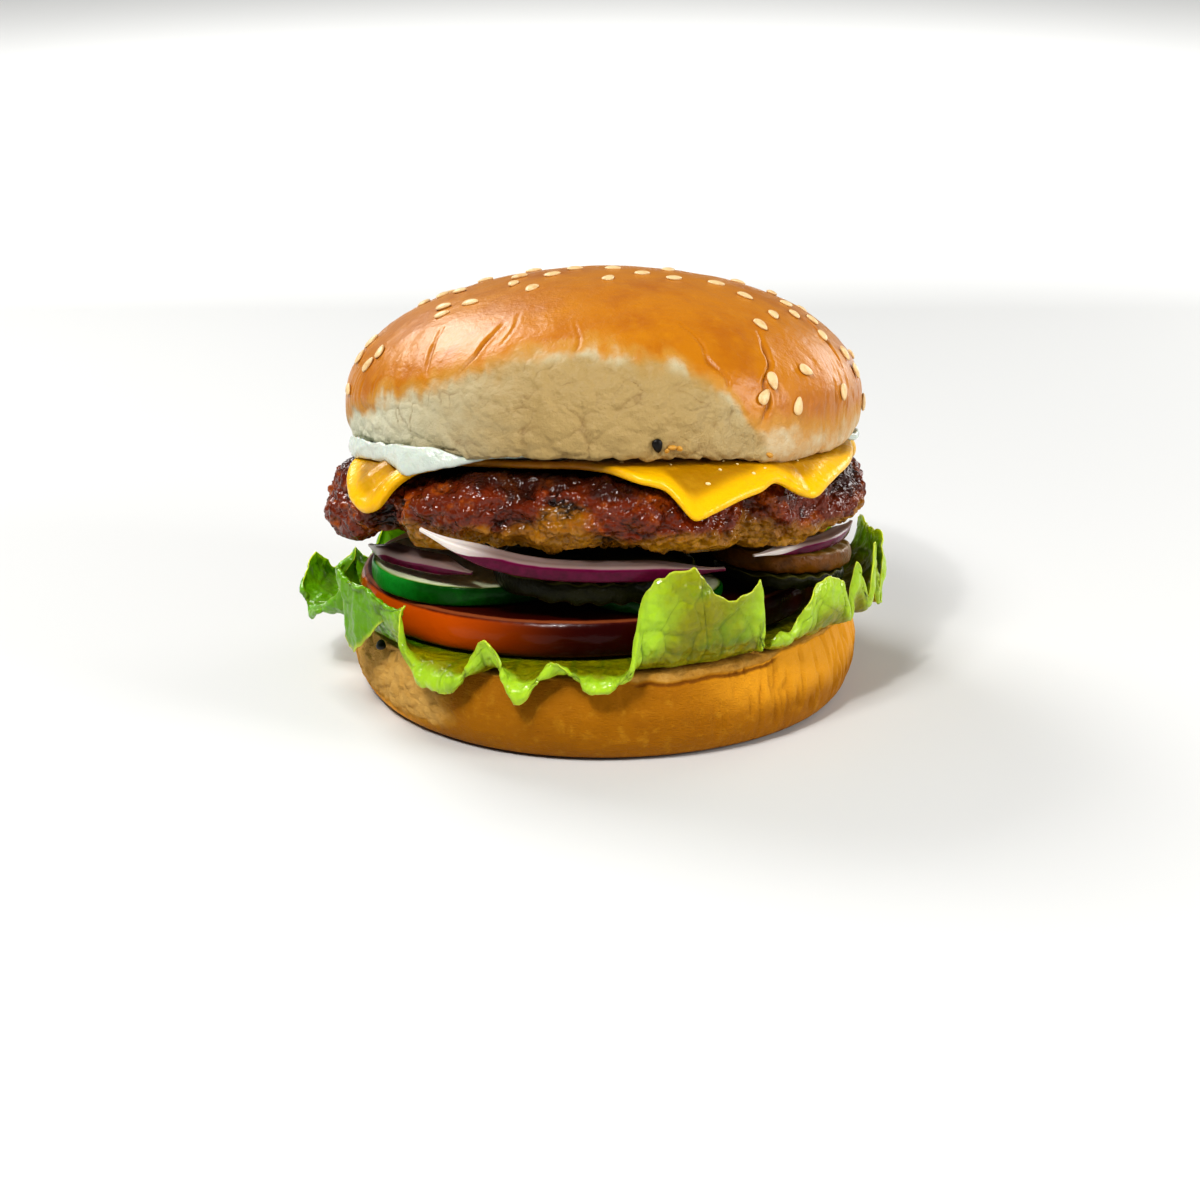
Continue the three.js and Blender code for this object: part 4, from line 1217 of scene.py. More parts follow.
@dataclass
class BeefPatty:
    """Beef patty: a thick disc of coarse mince with lobes and deep cracks between them.

    Attributes:
        face_rings: First and last ring of points on a face, as shares of its radius, and their number.
        left_lobe: Bearing, width and reach of the lobe that sticks out at the left.
        sags: Bearing, width and drop of each place where the side hangs down.
        cracks: Bearing, width and depth of each crack.
        seared: Bearing and width of the charred place at the right.
        steepest: Most relief there is, at the middle of the side.
    """

    node: str = "beef_patty"
    slot: Slot = Slot.BEEF
    radius: float = 51.6
    thickness: float = PATTY_THICKNESS
    side_depth: float = 9.0
    front_step: float = 0.5
    back_step: float = 1.4
    side_rows: int = 82
    face_rings: tuple[float, float, int] = (0.3, 0.94, 5)
    left_lobe: tuple[float, float, float] = (-84.0, 40.0, 4.6)
    outline: Rows = ((6, 1.0, 0.7),)
    sags: Rows = ((-80, 36, 2.0), (50, 26, 1.7), (8, 18, 0.6))
    cracks: Rows = (
        (-56, 6, 3.2), (-20, 6, 1.4), (33, 7, 3.6), (78, 7, 1.8),
        (118, 7, 2.6), (152, 6, 1.6), (196, 7, 2.4), (236, 6, 1.8),
    )
    seared: tuple[float, float] = (64, 24)
    steepest: float = 1.1
    patches: Lumps = Lumps(1.0, 8.0, 71)
    swell: Lumps = Lumps(1.0, 10.0, 87, 3)
    splits: Lumps = Lumps(1.0, 8.0, 93, 2)
    fine: Lumps = Lumps(0.4, 1.3, 99, 2)

    def _reach(self, bearing: Array) -> Array:
        """The outline without relief."""
        middle, width, reach = self.left_lobe
        split = sum(depth * hump(bearing, at, half) for at, half, depth in self.cracks)
        lobe = reach * hump(bearing, middle, width)
        return self.radius + lobe + 0.5 * waves(bearing, self.outline) - split

    def _sag(self, bearing: Array, slant: Array) -> Array:
        """How far the side hangs down, by a slant from below to above."""
        drop = sum(size * hump(bearing, at, half) for at, half, size in self.sags)
        return drop * np.maximum(0, np.cos(slant * 0.8 + 0.35)) * np.sqrt(np.maximum(np.cos(slant), 0))

    def build(self) -> bpy.types.Object:
        """The patty's mesh."""
        bearing = dense_bearings(self.front_step, self.back_step)
        inner = np.linspace(*self.face_rings)
        flat = np.full(len(inner), 90.0)
        angle = np.concatenate([-flat, np.linspace(-90, 90, self.side_rows), flat])[:, None]
        share = np.concatenate([inner, np.ones(self.side_rows), inner[::-1]])[:, None]
        b = np.broadcast_to(bearing, (len(angle), len(bearing)))
        slant = np.radians(angle)
        reach = (self._reach(bearing) - self.side_depth + self.side_depth * np.cos(slant)) * share
        height = self.thickness / 2 * (1 + np.sin(slant)) - self._sag(b, slant)
        grid = round_points(b, reach, height)
        relief, pit = self._relief(grid)
        grid = pushed(grid, np.minimum(relief, self.steepest * np.cos(slant) ** 2))
        level = grid[..., 2] / self.thickness
        noise = self.patches.at(grid)
        tan = smooth(0.56, 0.14, level + 0.3 * noise) * smooth(-70, -45, b + 6 * noise)
        tan = np.maximum(tan, 0.75 * hump(b, -9, 12) * smooth(0.8, 0.55, level) * smooth(0.2, 0.4, level))
        crack = sum(hump(b, at, half) for at, half, _ in self.cracks)
        seared = 0.9 * hump(b, *self.seared) * smooth(0.25, 0.65, level)
        masks = {
            "tan": tan,
            # Seared char at the top edge and at the right, with painted shade under the cheese and in the
            # cracks.
            "char": smooth(0.6, 0.98, level + 0.25 * noise) + 0.6 * crack + seared,
            # Painted shade, nearly black, in the pits of the mince.
            "pit": pit,
        }
        return closed_body("beef_patty_grilled", LEAN.placed(grid), GRILLED_BEEF, masks)

    def _relief(self, grid: Array) -> tuple[Array, Array]:
        """Mince relief, and how deep its pits are, which sets their painted shade."""
        warp = Grain.warp(grid, 5.0, 81)
        swell = self.swell.at(grid)
        first, second = Grain.cells(grid + 2.6 * warp, 5.4, 91)
        gap = smooth(0.12, 0.0, second - first) * smooth(0.0, 0.5, self.splits.at(grid) + 0.25)
        small_first, small_second = Grain.cells(grid + 1.0 * warp, 2.0, 95)
        nodule = smooth(0.9, 0.1, small_first) * (0.6 + 0.4 * smooth(30.0, 70.0, np.abs(grid[..., 0])))
        small_gap = smooth(0.16, 0.0, small_second - small_first)
        relief = 3.4 * swell - 1.5 + 0.7 * smooth(1.0, 0.1, first) + 0.6 * nodule + self.fine.at(grid)
        relief = relief - 0.4 * gap - 0.2 * small_gap
        pit = 0.4 * gap + 0.35 * small_gap * smooth(0.2, -0.5, swell) + 0.6 * smooth(-0.15, -0.6, swell)
        return relief, pit


@dataclass
class CheeseSlice:
    """Cheese slice that bends down over the patty's side at its corners.

    Attributes:
        bend_start: Distance from the middle where it starts to bend.
        overhang: Bearing and length, from the bend's start to its edge.
        lobe_bearing: Bearing of the lobe at the left.
    """

    node: str = "cheese_slice"
    slot: Slot = Slot.CHEESE
    bend_start: float = 43.6
    bend_radius: float = 11.5
    overhang: Rows = (
        (-110, 2), (-84, 1), (-76, 3), (-69, 8.2), (-62.5, 11.8), (-57, 14.3), (-53, 15.2),
        (-49.5, 14.2), (-47, 9.5), (-44.5, 6.2), (-41, 4.5), (-37, 0.6), (-24, 0), (-11, 0.2),
        (-1.5, 3), (6.5, 7.4), (11, 9), (16.5, 15), (20, 14), (26, 12), (31, 10.8), (35.5, 9.2),
        (40, 12), (43, 12.9), (49, 11), (54.5, 9.4), (62, 7.8), (72, 5.5), (84, 4), (98, 4.5),
        (116, 13), (130, 7), (160, 2), (188, 6), (205, 14), (222, 5),
    )
    lobe_bearing: float = -50.5
    front_step: float = 0.45
    back_step: float = 1.4
    hanging_rows: int = 26
    rim_rows: int = 11
    wavy: Lumps = Lumps(0.3, 8.0, 5, 2)

    def point(self, bearing: Numbers, length: Numbers, depth: Numbers) -> Array:
        """Points a length from the middle, along the slice, at a depth above its underside."""
        angle = np.maximum(0.0, length - self.bend_start) / self.bend_radius
        radius = self.bend_radius + depth
        reach = np.minimum(length, self.bend_start) + radius * np.sin(angle)
        return round_points(bearing, reach, CHEESE_UNDERSIDE + depth - radius * (1 - np.cos(angle)))

    def build(self) -> bpy.types.Object:
        """The slice's mesh."""
        bearing = dense_bearings(self.front_step, self.back_step)
        hang = curve_through(self.overhang, closed=True)(bearing)
        inner = np.array([0.5, 0.8])[:, None] * np.full_like(bearing, self.bend_start)
        share = np.linspace(0.0, 1.0, self.hanging_rows)[:, None]
        soft = CHEESE_THICKNESS / 2
        under = np.concatenate([inner, self.bend_start + share * (hang - soft)])
        turn = np.radians(np.linspace(-90.0, 90.0, self.rim_rows)[1:-1, None])
        rim_length = self.bend_start + hang - soft + soft * np.cos(turn)
        rim_depth = soft * (1 + np.sin(turn)) * np.ones_like(hang)
        length = np.concatenate([under, rim_length, under[::-1]])
        depth = np.concatenate([np.zeros_like(under), rim_depth, np.full_like(under, CHEESE_THICKNESS)])
        b = np.broadcast_to(bearing, length.shape)
        out = length - self.bend_start
        fold, dent = self._folds(b, out)
        bead = 0.28 * smooth(2.6, 0.9, hang - out) * smooth(3.0, 8.0, hang)
        grid = self.point(b, length, depth)
        grid = pushed(grid, smooth(0.0, CHEESE_THICKNESS, depth) * (fold - dent + bead))
        wavy = np.maximum(self.wavy.at(stacked(b * 0.8, out, 0.0)), 0)
        grid[..., 2] += wavy * smooth(0.0, 3.0, out) * 0.8
        lobe = hump(b, self.lobe_bearing, 12.0)
        lit = smooth(6.5, 0.8, hang - out) * smooth(3.0, 11.0, hang + 2.0 * smooth(2.0, 0.4, hang - out))
        masks = {
            # Painted light on the hanging rims and on the far part of the left lobe.
            "rim": np.maximum(lit * (1 - 0.3 * lobe), 0.5 * lobe * smooth(5.0, 9.0, out)),
            # Painted shade where the slice bends down under the crown's rim, and in its dents.
            "bend": smooth(4.5, 0.5, out) + 0.8 * dent * (1 - 0.8 * smooth(6.0, 9.0, out)),
        }
        return closed_body("cheese_slice_melted", LEAN.placed(grid), MELTED_CHEESE, masks)

    def _folds(self, b: Array, out: Array) -> tuple[Array, Array]:
        """The two folds of the left lobe, and its dent and the one at the right."""
        valley = b - self.lobe_bearing + 0.45 * (out - 6)
        lengthwise = smooth(0.5, 3.0, out) * smooth(14.5, 9.5, out)
        ridges = np.exp(-(((valley + 4.4) / 2.4) ** 2)) + np.exp(-(((valley - 3.2) / 1.8) ** 2))
        dent = 0.75 * np.exp(-((valley / 1.7) ** 2)) * lengthwise
        at_right = 0.35 * np.exp(-(((b - 44.5 + 0.2 * out) / 0.9) ** 2)) * smooth(1.0, 3.0, out)
        return 0.75 * ridges * lengthwise, dent + at_right

    def top_at(self, reach: Array) -> Array:
        """Height of the slice's top at distances from its middle."""
        radius = self.bend_radius + CHEESE_THICKNESS
        past = np.clip(reach - self.bend_start, 0.0, radius * 0.97)
        return CHEESE_TOP - radius + np.sqrt(radius**2 - past**2)


@dataclass
class Mayonnaise:
    """Thin layer under the crown, pressed out at the left and a little at the right.

    Attributes:
        lift: Gap between it and the cheese.
        drop: How far its top sinks under the crown's rim.
        climb: How far it swells up outside that rim.
        edge: Bearing and reach of its outline.
    """

    cheese: CheeseSlice
    node: str = "mayonnaise"
    slot: Slot = Slot.MAYONNAISE
    lift: float = 0.3
    rounding: float = 0.9
    drop: float = 0.35
    climb: float = 1.9
    edge: Rows = (
        (-100, 38), (-86, 46), (-78, 50.4), (-68, 50.8), (-62, 50.5), (-56, 50.4), (-50, 51.5),
        (-45, 52.6), (-40, 51.6), (-34, 49.4), (-27, 45), (-12, 41.5), (10, 41), (60, 41),
        (76, 45.5), (84, 49.4), (92, 48.4), (104, 43), (150, 41), (200, 42), (240, 39),
    )
    front_step: float = 0.6
    back_step: float = 3.0
    rim_rows: int = 17
    face_rings: tuple[float, ...] = (0.6, 0.82, 0.86, 0.9, 0.93, 0.96, 0.985)
    ragged: Lumps = Lumps(0.45, 5.0, 3, 3)
    lumps: Lumps = Lumps(0.35, 3.4, 17, 3)
    folds: Lumps = Lumps(1.0, 5.0, 19, 2)

    def build(self) -> bpy.types.Object:
        """The layer's mesh."""
        bearing = dense_bearings(self.front_step, self.back_step)
        spot = round_points(bearing, 50.0, 0.0)
        reach = curve_through(self.edge, closed=True)(bearing) + self.ragged.at(spot)
        radius, levels = rounded_rim(self.face_rings, reach, self.rounding, self.rim_rows)
        low = self.cheese.top_at(radius) + self.lift
        drop = self.drop * smooth(45.3, 47.8, radius)
        high = CROWN_BASE - AIR - drop + self.climb * smooth(48.2, 50.6, radius)
        grid = round_points(bearing, radius, low + levels * (high - low))
        folds = smooth(0.3, 0.0, np.abs(self.folds.at(grid)))
        grid = pushed(grid, (self.lumps.at(grid) + 0.3 * folds) * smooth(40.0, 46.0, radius))
        return closed_body("mayonnaise_layer", LEAN.placed(grid), EMULSION, {})


@dataclass
class CrownBun:
    """Crown of the bun: a dome on a low round rim, its skin torn open along the front.

    Attributes:
        rim_sag: Bearing, width and depth of the place where the rim hangs lowest.
        rim_hang: How much lower the torn front of the rim hangs.
        cut_rings: Radius of each ring on the cut face.
        under_rows: Rows between its base and its rim.
        side_rows: Closer rows from the rim up to the angle `side_end`.
        top_rows: Rows from there to the angle `top_end`.
        unevenness: Count, size and phase of each wave in its outline.
        tear_edge: Bearing and height of the torn patch's upper edge.
        creases: For each crease its width, its depth and the bearings and slants it runs through.
    """

    node: str = "crown_bun"
    slot: Slot = Slot.BREAD
    radius: float = 50.7
    base_radius: float = 47.8
    rim_height: float = 7.0
    rim_drop: float = 0.35
    rim_sag: tuple[float, float, float] = (42.0, 34.0, 1.35)
    rim_hang: float = 0.9
    dome_height: float = 24.9
    cut_rings: tuple[float, float] = (30.0, 45.8)
    front_step: float = 0.43
    back_step: float = 1.8
    under_rows: int = 26
    side_rows: int = 84
    side_end: float = 40.0
    top_rows: int = 40
    top_end: float = 88.5
    unevenness: Rows = ((2, 0.35, 1.2), (3, 0.3, 0.2), (5, 0.15, 3.1))
    tear_depth: float = 0.7
    tear_edge: Rows = (
        (-104, -1), (-88, 2), (-76, 6.3), (-66, 8), (-56, 9.8), (-42, 12.4), (-29, 15.6), (-20, 18.2),
        (-8, 18.6), (4, 18.2), (16, 16.4), (23, 13), (28, 9), (33, 4), (38, -1),
    )
    creases: tuple[tuple[float, float, Rows], ...] = (
        (0.34, 0.45, ((-48, 37), (-45, 27), (-42, 16))),
        (0.38, 0.6, ((-28, 39), (-30, 30), (-31, 24), (-34, 16))),
        (0.3, 0.3, ((-26, 46), (-24, 38), (-25, 30))),
        (0.3, 0.3, ((-8, 41), (-6, 32), (-7, 26), (-6, 19))),
        (0.34, 0.42, ((20, 39), (23, 30), (23, 22), (26, 14), (25, 8))),
        (0.4, 0.7, ((41, 33), (39, 25), (38, 19), (35, 12), (35, 3), (33, -16))),
        (0.5, 0.5, ((70, 36), (66, 20), (64, 4))),
        (0.7, 0.7, ((120, 40), (124, 24), (122, 8))),
        (0.7, 0.7, ((165, 44), (161, 26), (163, 10))),
        (0.7, 0.7, ((-120, 42), (-124, 26), (-121, 10))),
    )
    rim_ragged: Lumps = Lumps(0.55, 2.6, 7, 3)
    tear_ragged: tuple[Lumps, Lumps] = (Lumps(1.6, 6.0, 13, 3), Lumps(0.8, 2.0, 14, 2))
    swells: tuple[Lumps, Lumps] = (Lumps(0.3, 12.0, 47), Lumps(0.06, 3.0, 49))
    dents: Lumps = Lumps(0.3, 9.0, 57, 2)
    wrinkles: Lumps = Lumps(1.0, 2.2, 43, 3)
    streaks: Lumps = Lumps(1.0, 3.4, 53, 3)

    def skin_point(self, bearing: Numbers, angle: Numbers) -> Array:
        """Smooth skin, by an angle from -90 at its base over 0 at its rim to 90 at its top."""
        slant = np.radians(angle)
        low = np.asarray(angle) < 0
        under = self.radius - (self.radius - self.base_radius) * (1 - np.cos(slant)) ** 1.6
        reach = np.where(low, under, self.radius * np.cos(slant))
        at, width, drop = self.rim_sag
        sag = drop * (1 + 1.4 * np.cos(slant)) * hump(bearing, at, width)
        rise = np.where(low, self.rim_height + self.rim_drop + sag, self.dome_height)
        height = self.rim_height + rise * np.sin(slant)
        uneven = waves(bearing, self.unevenness) * (reach / self.radius) ** 2
        return round_points(bearing, reach + uneven, CROWN_BASE + height)

    def build(self) -> bpy.types.Object:
        """The crown's mesh, without its seeds."""
        bearing = dense_bearings(self.front_step, self.back_step)
        lower = np.linspace(-90, 0, self.under_rows, endpoint=False)
        side = np.linspace(0, self.side_end, self.side_rows, endpoint=False)
        top = np.linspace(self.side_end, self.top_end, self.top_rows)
        angle = np.concatenate([lower, side, top])
        b = np.broadcast_to(bearing, (len(angle), len(bearing)))
        grid = self.skin_point(b, angle[:, None])
        height = grid[..., 2] - CROWN_BASE
        relief, masks = self._relief(grid, b, height)
        grid = pushed(grid, relief)
        front = smooth(-42, -30, b) * smooth(80, 62, b)
        ragged = self.rim_ragged.at(grid) - self.rim_hang * front
        grid[..., 2] += smooth(3.0, 0.2, height) * ragged
        cut = [round_points(bearing, radius, CROWN_BASE)[None] for radius in self.cut_rings]
        grid = np.concatenate([*cut, grid])
        for key, values in masks.items():
            masks[key] = np.concatenate([np.full((len(cut), len(bearing)), float(key == "pale")), values])
        return closed_body("crown_bun_crust", LEAN.placed(grid), BAKED_CRUST, masks)

    def _crease(self, grid: Array, width: float, depth: float, knots: Rows) -> Array:
        """Depth of one crease at each point, below 0 on the lips beside it."""
        line = spline(np.array([self.skin_point(*knot) for knot in knots]), 40)
        taper = np.sin(np.linspace(0.12, math.pi - 0.12, len(line))) ** 0.5
        wobble = 0.35 * Grain.value(grid, 2.6, 61)
        nearest = np.full(grid.shape[:2], 99.0)
        size = np.zeros(grid.shape[:2])
        for spot, share in zip(line, taper):
            gap = np.linalg.norm(grid - spot, axis=-1)
            size = np.where(gap < nearest, share, size)
            nearest = np.minimum(nearest, gap)
        across = np.maximum(nearest + wobble * (nearest > width * 0.5), 0.0) / width
        groove = np.exp(-(across**2)) - 0.2 * np.exp(-(((across - 2.3) / 1.1) ** 2))
        return depth * size * groove

    def _torn_relief(self, grid: Array) -> tuple[Array, Array]:
        """Puffed and flaking relief of the torn crumb, and how deep its crevices are."""
        puffed = grid * np.array([1.0, 1.0, 1.15]) + 2.2 * Grain.warp(grid, 4.5, 24)
        first, second = Grain.cells(puffed, 5.2, 31)
        small_first, small_second = Grain.cells(puffed, 2.5, 35)
        opened = 0.35 + 0.65 * smooth(-0.3, 0.5, Grain.layered(grid, 5.0, 39, 2))
        small_opened = smooth(-0.1, 0.5, Grain.layered(grid, 4.0, 41, 2))
        gap = smooth(0.13, 0.0, second - first) * opened
        small_gap = smooth(0.14, 0.0, small_second - small_first) * small_opened
        relief = 0.6 * smooth(0.95, 0.05, first) + 0.34 * smooth(0.9, 0.05, small_first)
        relief = relief - 0.2 * gap - 0.1 * small_gap - 0.3 + 0.16 * Grain.layered(grid, 1.5, 37, 2)
        return relief, np.clip(0.8 * gap + 0.4 * small_gap, 0, 1)

    def _relief(self, grid: Array, b: Array, height: Array) -> tuple[Array, Masks]:
        """Relief of the crown's skin and of its torn side.

        Args:
            grid: Points of the smooth skin.
            b: Bearing of each point, in degrees.
            height: Height of each point above the crown's underside.

        Returns:
            Relief in millimetres, and masks of where the skin is pale and where painted shade lies: in its
            creases and wrinkles, in its crevices and over the torn patch's middle.
        """
        away = away_from(b, 0.0)
        ragged = sum(lumps.at(grid) for lumps in self.tear_ragged)
        below = curve_through(self.tear_edge)(away) - height + ragged
        below = np.where((away < self.tear_edge[0][0]) | (away > self.tear_edge[-1][0]), -9.0, below)
        torn = smooth(-1.6, 3.0, below)
        flakes, gap = self._torn_relief(grid)
        creased = sum(self._crease(grid, *crease) for crease in self.creases)
        streak = stacked(b * 0.88, height * 0.2, 0.0)
        wrinkle = smooth(0.16, 0.0, np.abs(self.wrinkles.at(streak))) * smooth(20.0, 9.0, height)
        side = 0.2 + 0.8 * smooth(38, 58, np.abs(away))
        crust = sum(swell.at(grid) for swell in self.swells)
        crust = crust + self.dents.at(grid) * smooth(19.0, 10.0, height)
        crust = crust - creased - 0.24 * wrinkle * side
        relief = crust * (1 - torn) + torn * (flakes - self.tear_depth - 0.45 * creased)
        fade = self.streaks.at(streak * np.array([1.0, 1.3, 1.0]))
        pale = smooth(-5.0, 4.0, below + 3.0 * fade)
        pale = np.maximum(pale, 0.72 * smooth(9.5, 1.0, height + 2.5 * fade))
        hollow = np.clip(creased, 0, 1)
        masks = {
            "pale": pale,
            # Painted shade in the creases and wrinkles.
            "seam": (1 - torn) * (1.2 * hollow + 0.3 * wrinkle * side * (1 - pale)),
            # Painted shade in the crevices of the torn crumb and in its creases.
            "pit": torn * (0.9 * gap + 0.6 * hollow),
            "shade": np.clip((away + 72) / 62, 0, 1) * (1 - 0.2 * smooth(8.0, 30.0, away)) * torn,
        }
        return relief, masks


@dataclass(frozen=True)
class GrainShape:
    """Size of a small rounded thing: a ball squeezed to three lengths and narrowed at one end.

    Attributes:
        narrowing: How much narrower one end is.
        spread: How much their sizes differ, as a share.
    """

    length: float
    width: float
    height: float
    narrowing: float
    spread: float

    def inputs(self) -> dict[str, float]:
        """Value of each named input of the tree, in metres where it is a length."""
        lengths = {"Length": self.length * MM, "Width": self.width * MM, "Height": self.height * MM}
        return lengths | {"Narrowing": self.narrowing, "Spread": self.spread}


class ScatterTree:
    """Geometry nodes that lay one small rounded shape at every point of a mesh.

    Each point carries its turn as an angle vector.
    """

    SIZES = ("Length", "Width", "Height", "Narrowing", "Spread")
    BALL_SUBDIVISIONS = 3

    def __init__(self) -> None:
        """Builds the tree."""
        self.tree = bpy.data.node_groups.new("scattered_grains", "GeometryNodeTree")
        given = [("Geometry", "Geometry"), *((name, "Float") for name in self.SIZES)]
        for name, kind in (*given, ("Seed", "Int"), ("Material", "Material")):
            self.tree.interface.new_socket(name, in_out="INPUT", socket_type=f"NodeSocket{kind}")
        self.tree.interface.new_socket("Geometry", in_out="OUTPUT", socket_type="NodeSocketGeometry")
        self._link()

    def _add(self, kind: str, inputs: dict[str | int, object], output: int = 0, **settings: str) -> Socket:
        """Adds a node and gives one of its outputs."""
        return add_node(self.tree, kind, inputs, **settings).outputs[output]

    def _link(self) -> None:
        """Adds the nodes."""
        given = add_node(self.tree, "NodeGroupInput").outputs
        inputs = {"Radius": 0.5, "Subdivisions": self.BALL_SUBDIVISIONS}
        ball = self._add("GeometryNodeMeshIcoSphere", inputs)
        place = self._add("GeometryNodeInputPosition", {})
        parts = add_node(self.tree, "ShaderNodeSeparateXYZ", {0: place}).outputs
        inputs = {0: parts["X"], 1: given["Narrowing"]}
        slimmer = self._add("ShaderNodeMath", inputs, operation="MULTIPLY")
        factor = self._add("ShaderNodeMath", {0: 1.0, 1: slimmer}, operation="SUBTRACT")
        narrow = self._add("ShaderNodeMath", {0: parts["Y"], 1: factor}, operation="MULTIPLY")
        shaped = self._add("ShaderNodeCombineXYZ", {"X": parts["X"], "Y": narrow, "Z": parts["Z"]})
        sizes = {"X": given["Length"], "Y": given["Width"], "Z": given["Height"]}
        size = self._add("ShaderNodeCombineXYZ", sizes)
        scaled = self._add("ShaderNodeVectorMath", {0: shaped, 1: size}, operation="MULTIPLY")
        shape = self._add("GeometryNodeSetPosition", {"Geometry": ball, "Position": scaled})
        points = self._add("GeometryNodeMeshToPoints", {0: given["Geometry"]})
        turn = self._add("GeometryNodeInputNamedAttribute", {"Name": "turn"}, data_type="FLOAT_VECTOR")
        rotation = self._add("FunctionNodeEulerToRotation", {0: turn})
        least = self._add("ShaderNodeMath", {0: 1.0, 1: given["Spread"]}, operation="SUBTRACT")
        most = self._add("ShaderNodeMath", {0: 1.0, 1: given["Spread"]}, operation="ADD")
        inputs = {2: least, 3: most, "Seed": given["Seed"]}
        scale = self._add("FunctionNodeRandomValue", inputs, output=1, data_type="FLOAT")
        inputs = {"Points": points, "Instance": shape, "Rotation": rotation, "Scale": scale}
        laid = self._add("GeometryNodeInstanceOnPoints", inputs)
        real = self._add("GeometryNodeRealizeInstances", {0: laid})
        smoothed = self._add("GeometryNodeSetShadeSmooth", {0: real})
        inputs = {"Geometry": smoothed, "Material": given["Material"]}
        dressed = self._add("GeometryNodeSetMaterial", inputs)
        add_node(self.tree, "NodeGroupOutput", {"Geometry": dressed})

    def grains(
        self, name: str, spots: list[Matrix], shape: GrainShape, seed: int, finish: Finish
    ) -> bpy.types.Object:
        """Plain mesh of the shape at given places.

        Args:
            name: The piece's name.
            spots: Place and turn of each grain, in millimetres.
            shape: Their size.
            seed: Seed of their spread in size.
            finish: Their surface.

        Returns:
            The object.
        """
        mesh = bpy.data.meshes.new(name + "_spots")
        mesh.from_pydata([spot.to_translation() * MM for spot in spots], [], [])
        turns = mesh.attributes.new("turn", "FLOAT_VECTOR", "POINT")
        turns.data.foreach_set("vector", [a for spot in spots for a in spot.to_euler()])
        carrier = add_object(name + "_spots", mesh)
        modifier = carrier.modifiers.new("grains", "NODES")
        modifier.node_group = self.tree
        sockets = [item for item in self.tree.interface.items_tree if item.in_out == "INPUT"]
        identifiers = {item.name: item.identifier for item in sockets}
        values = shape.inputs() | {"Seed": seed, "Material": finish.material()}
        for key, value in values.items():
            modifier[identifiers[key]] = value
        graph = bpy.context.evaluated_depsgraph_get()
        made = bpy.data.meshes.new_from_object(carrier.evaluated_get(graph), depsgraph=graph)
        made.name = name
        bpy.data.objects.remove(carrier)
        return add_object(name, made)


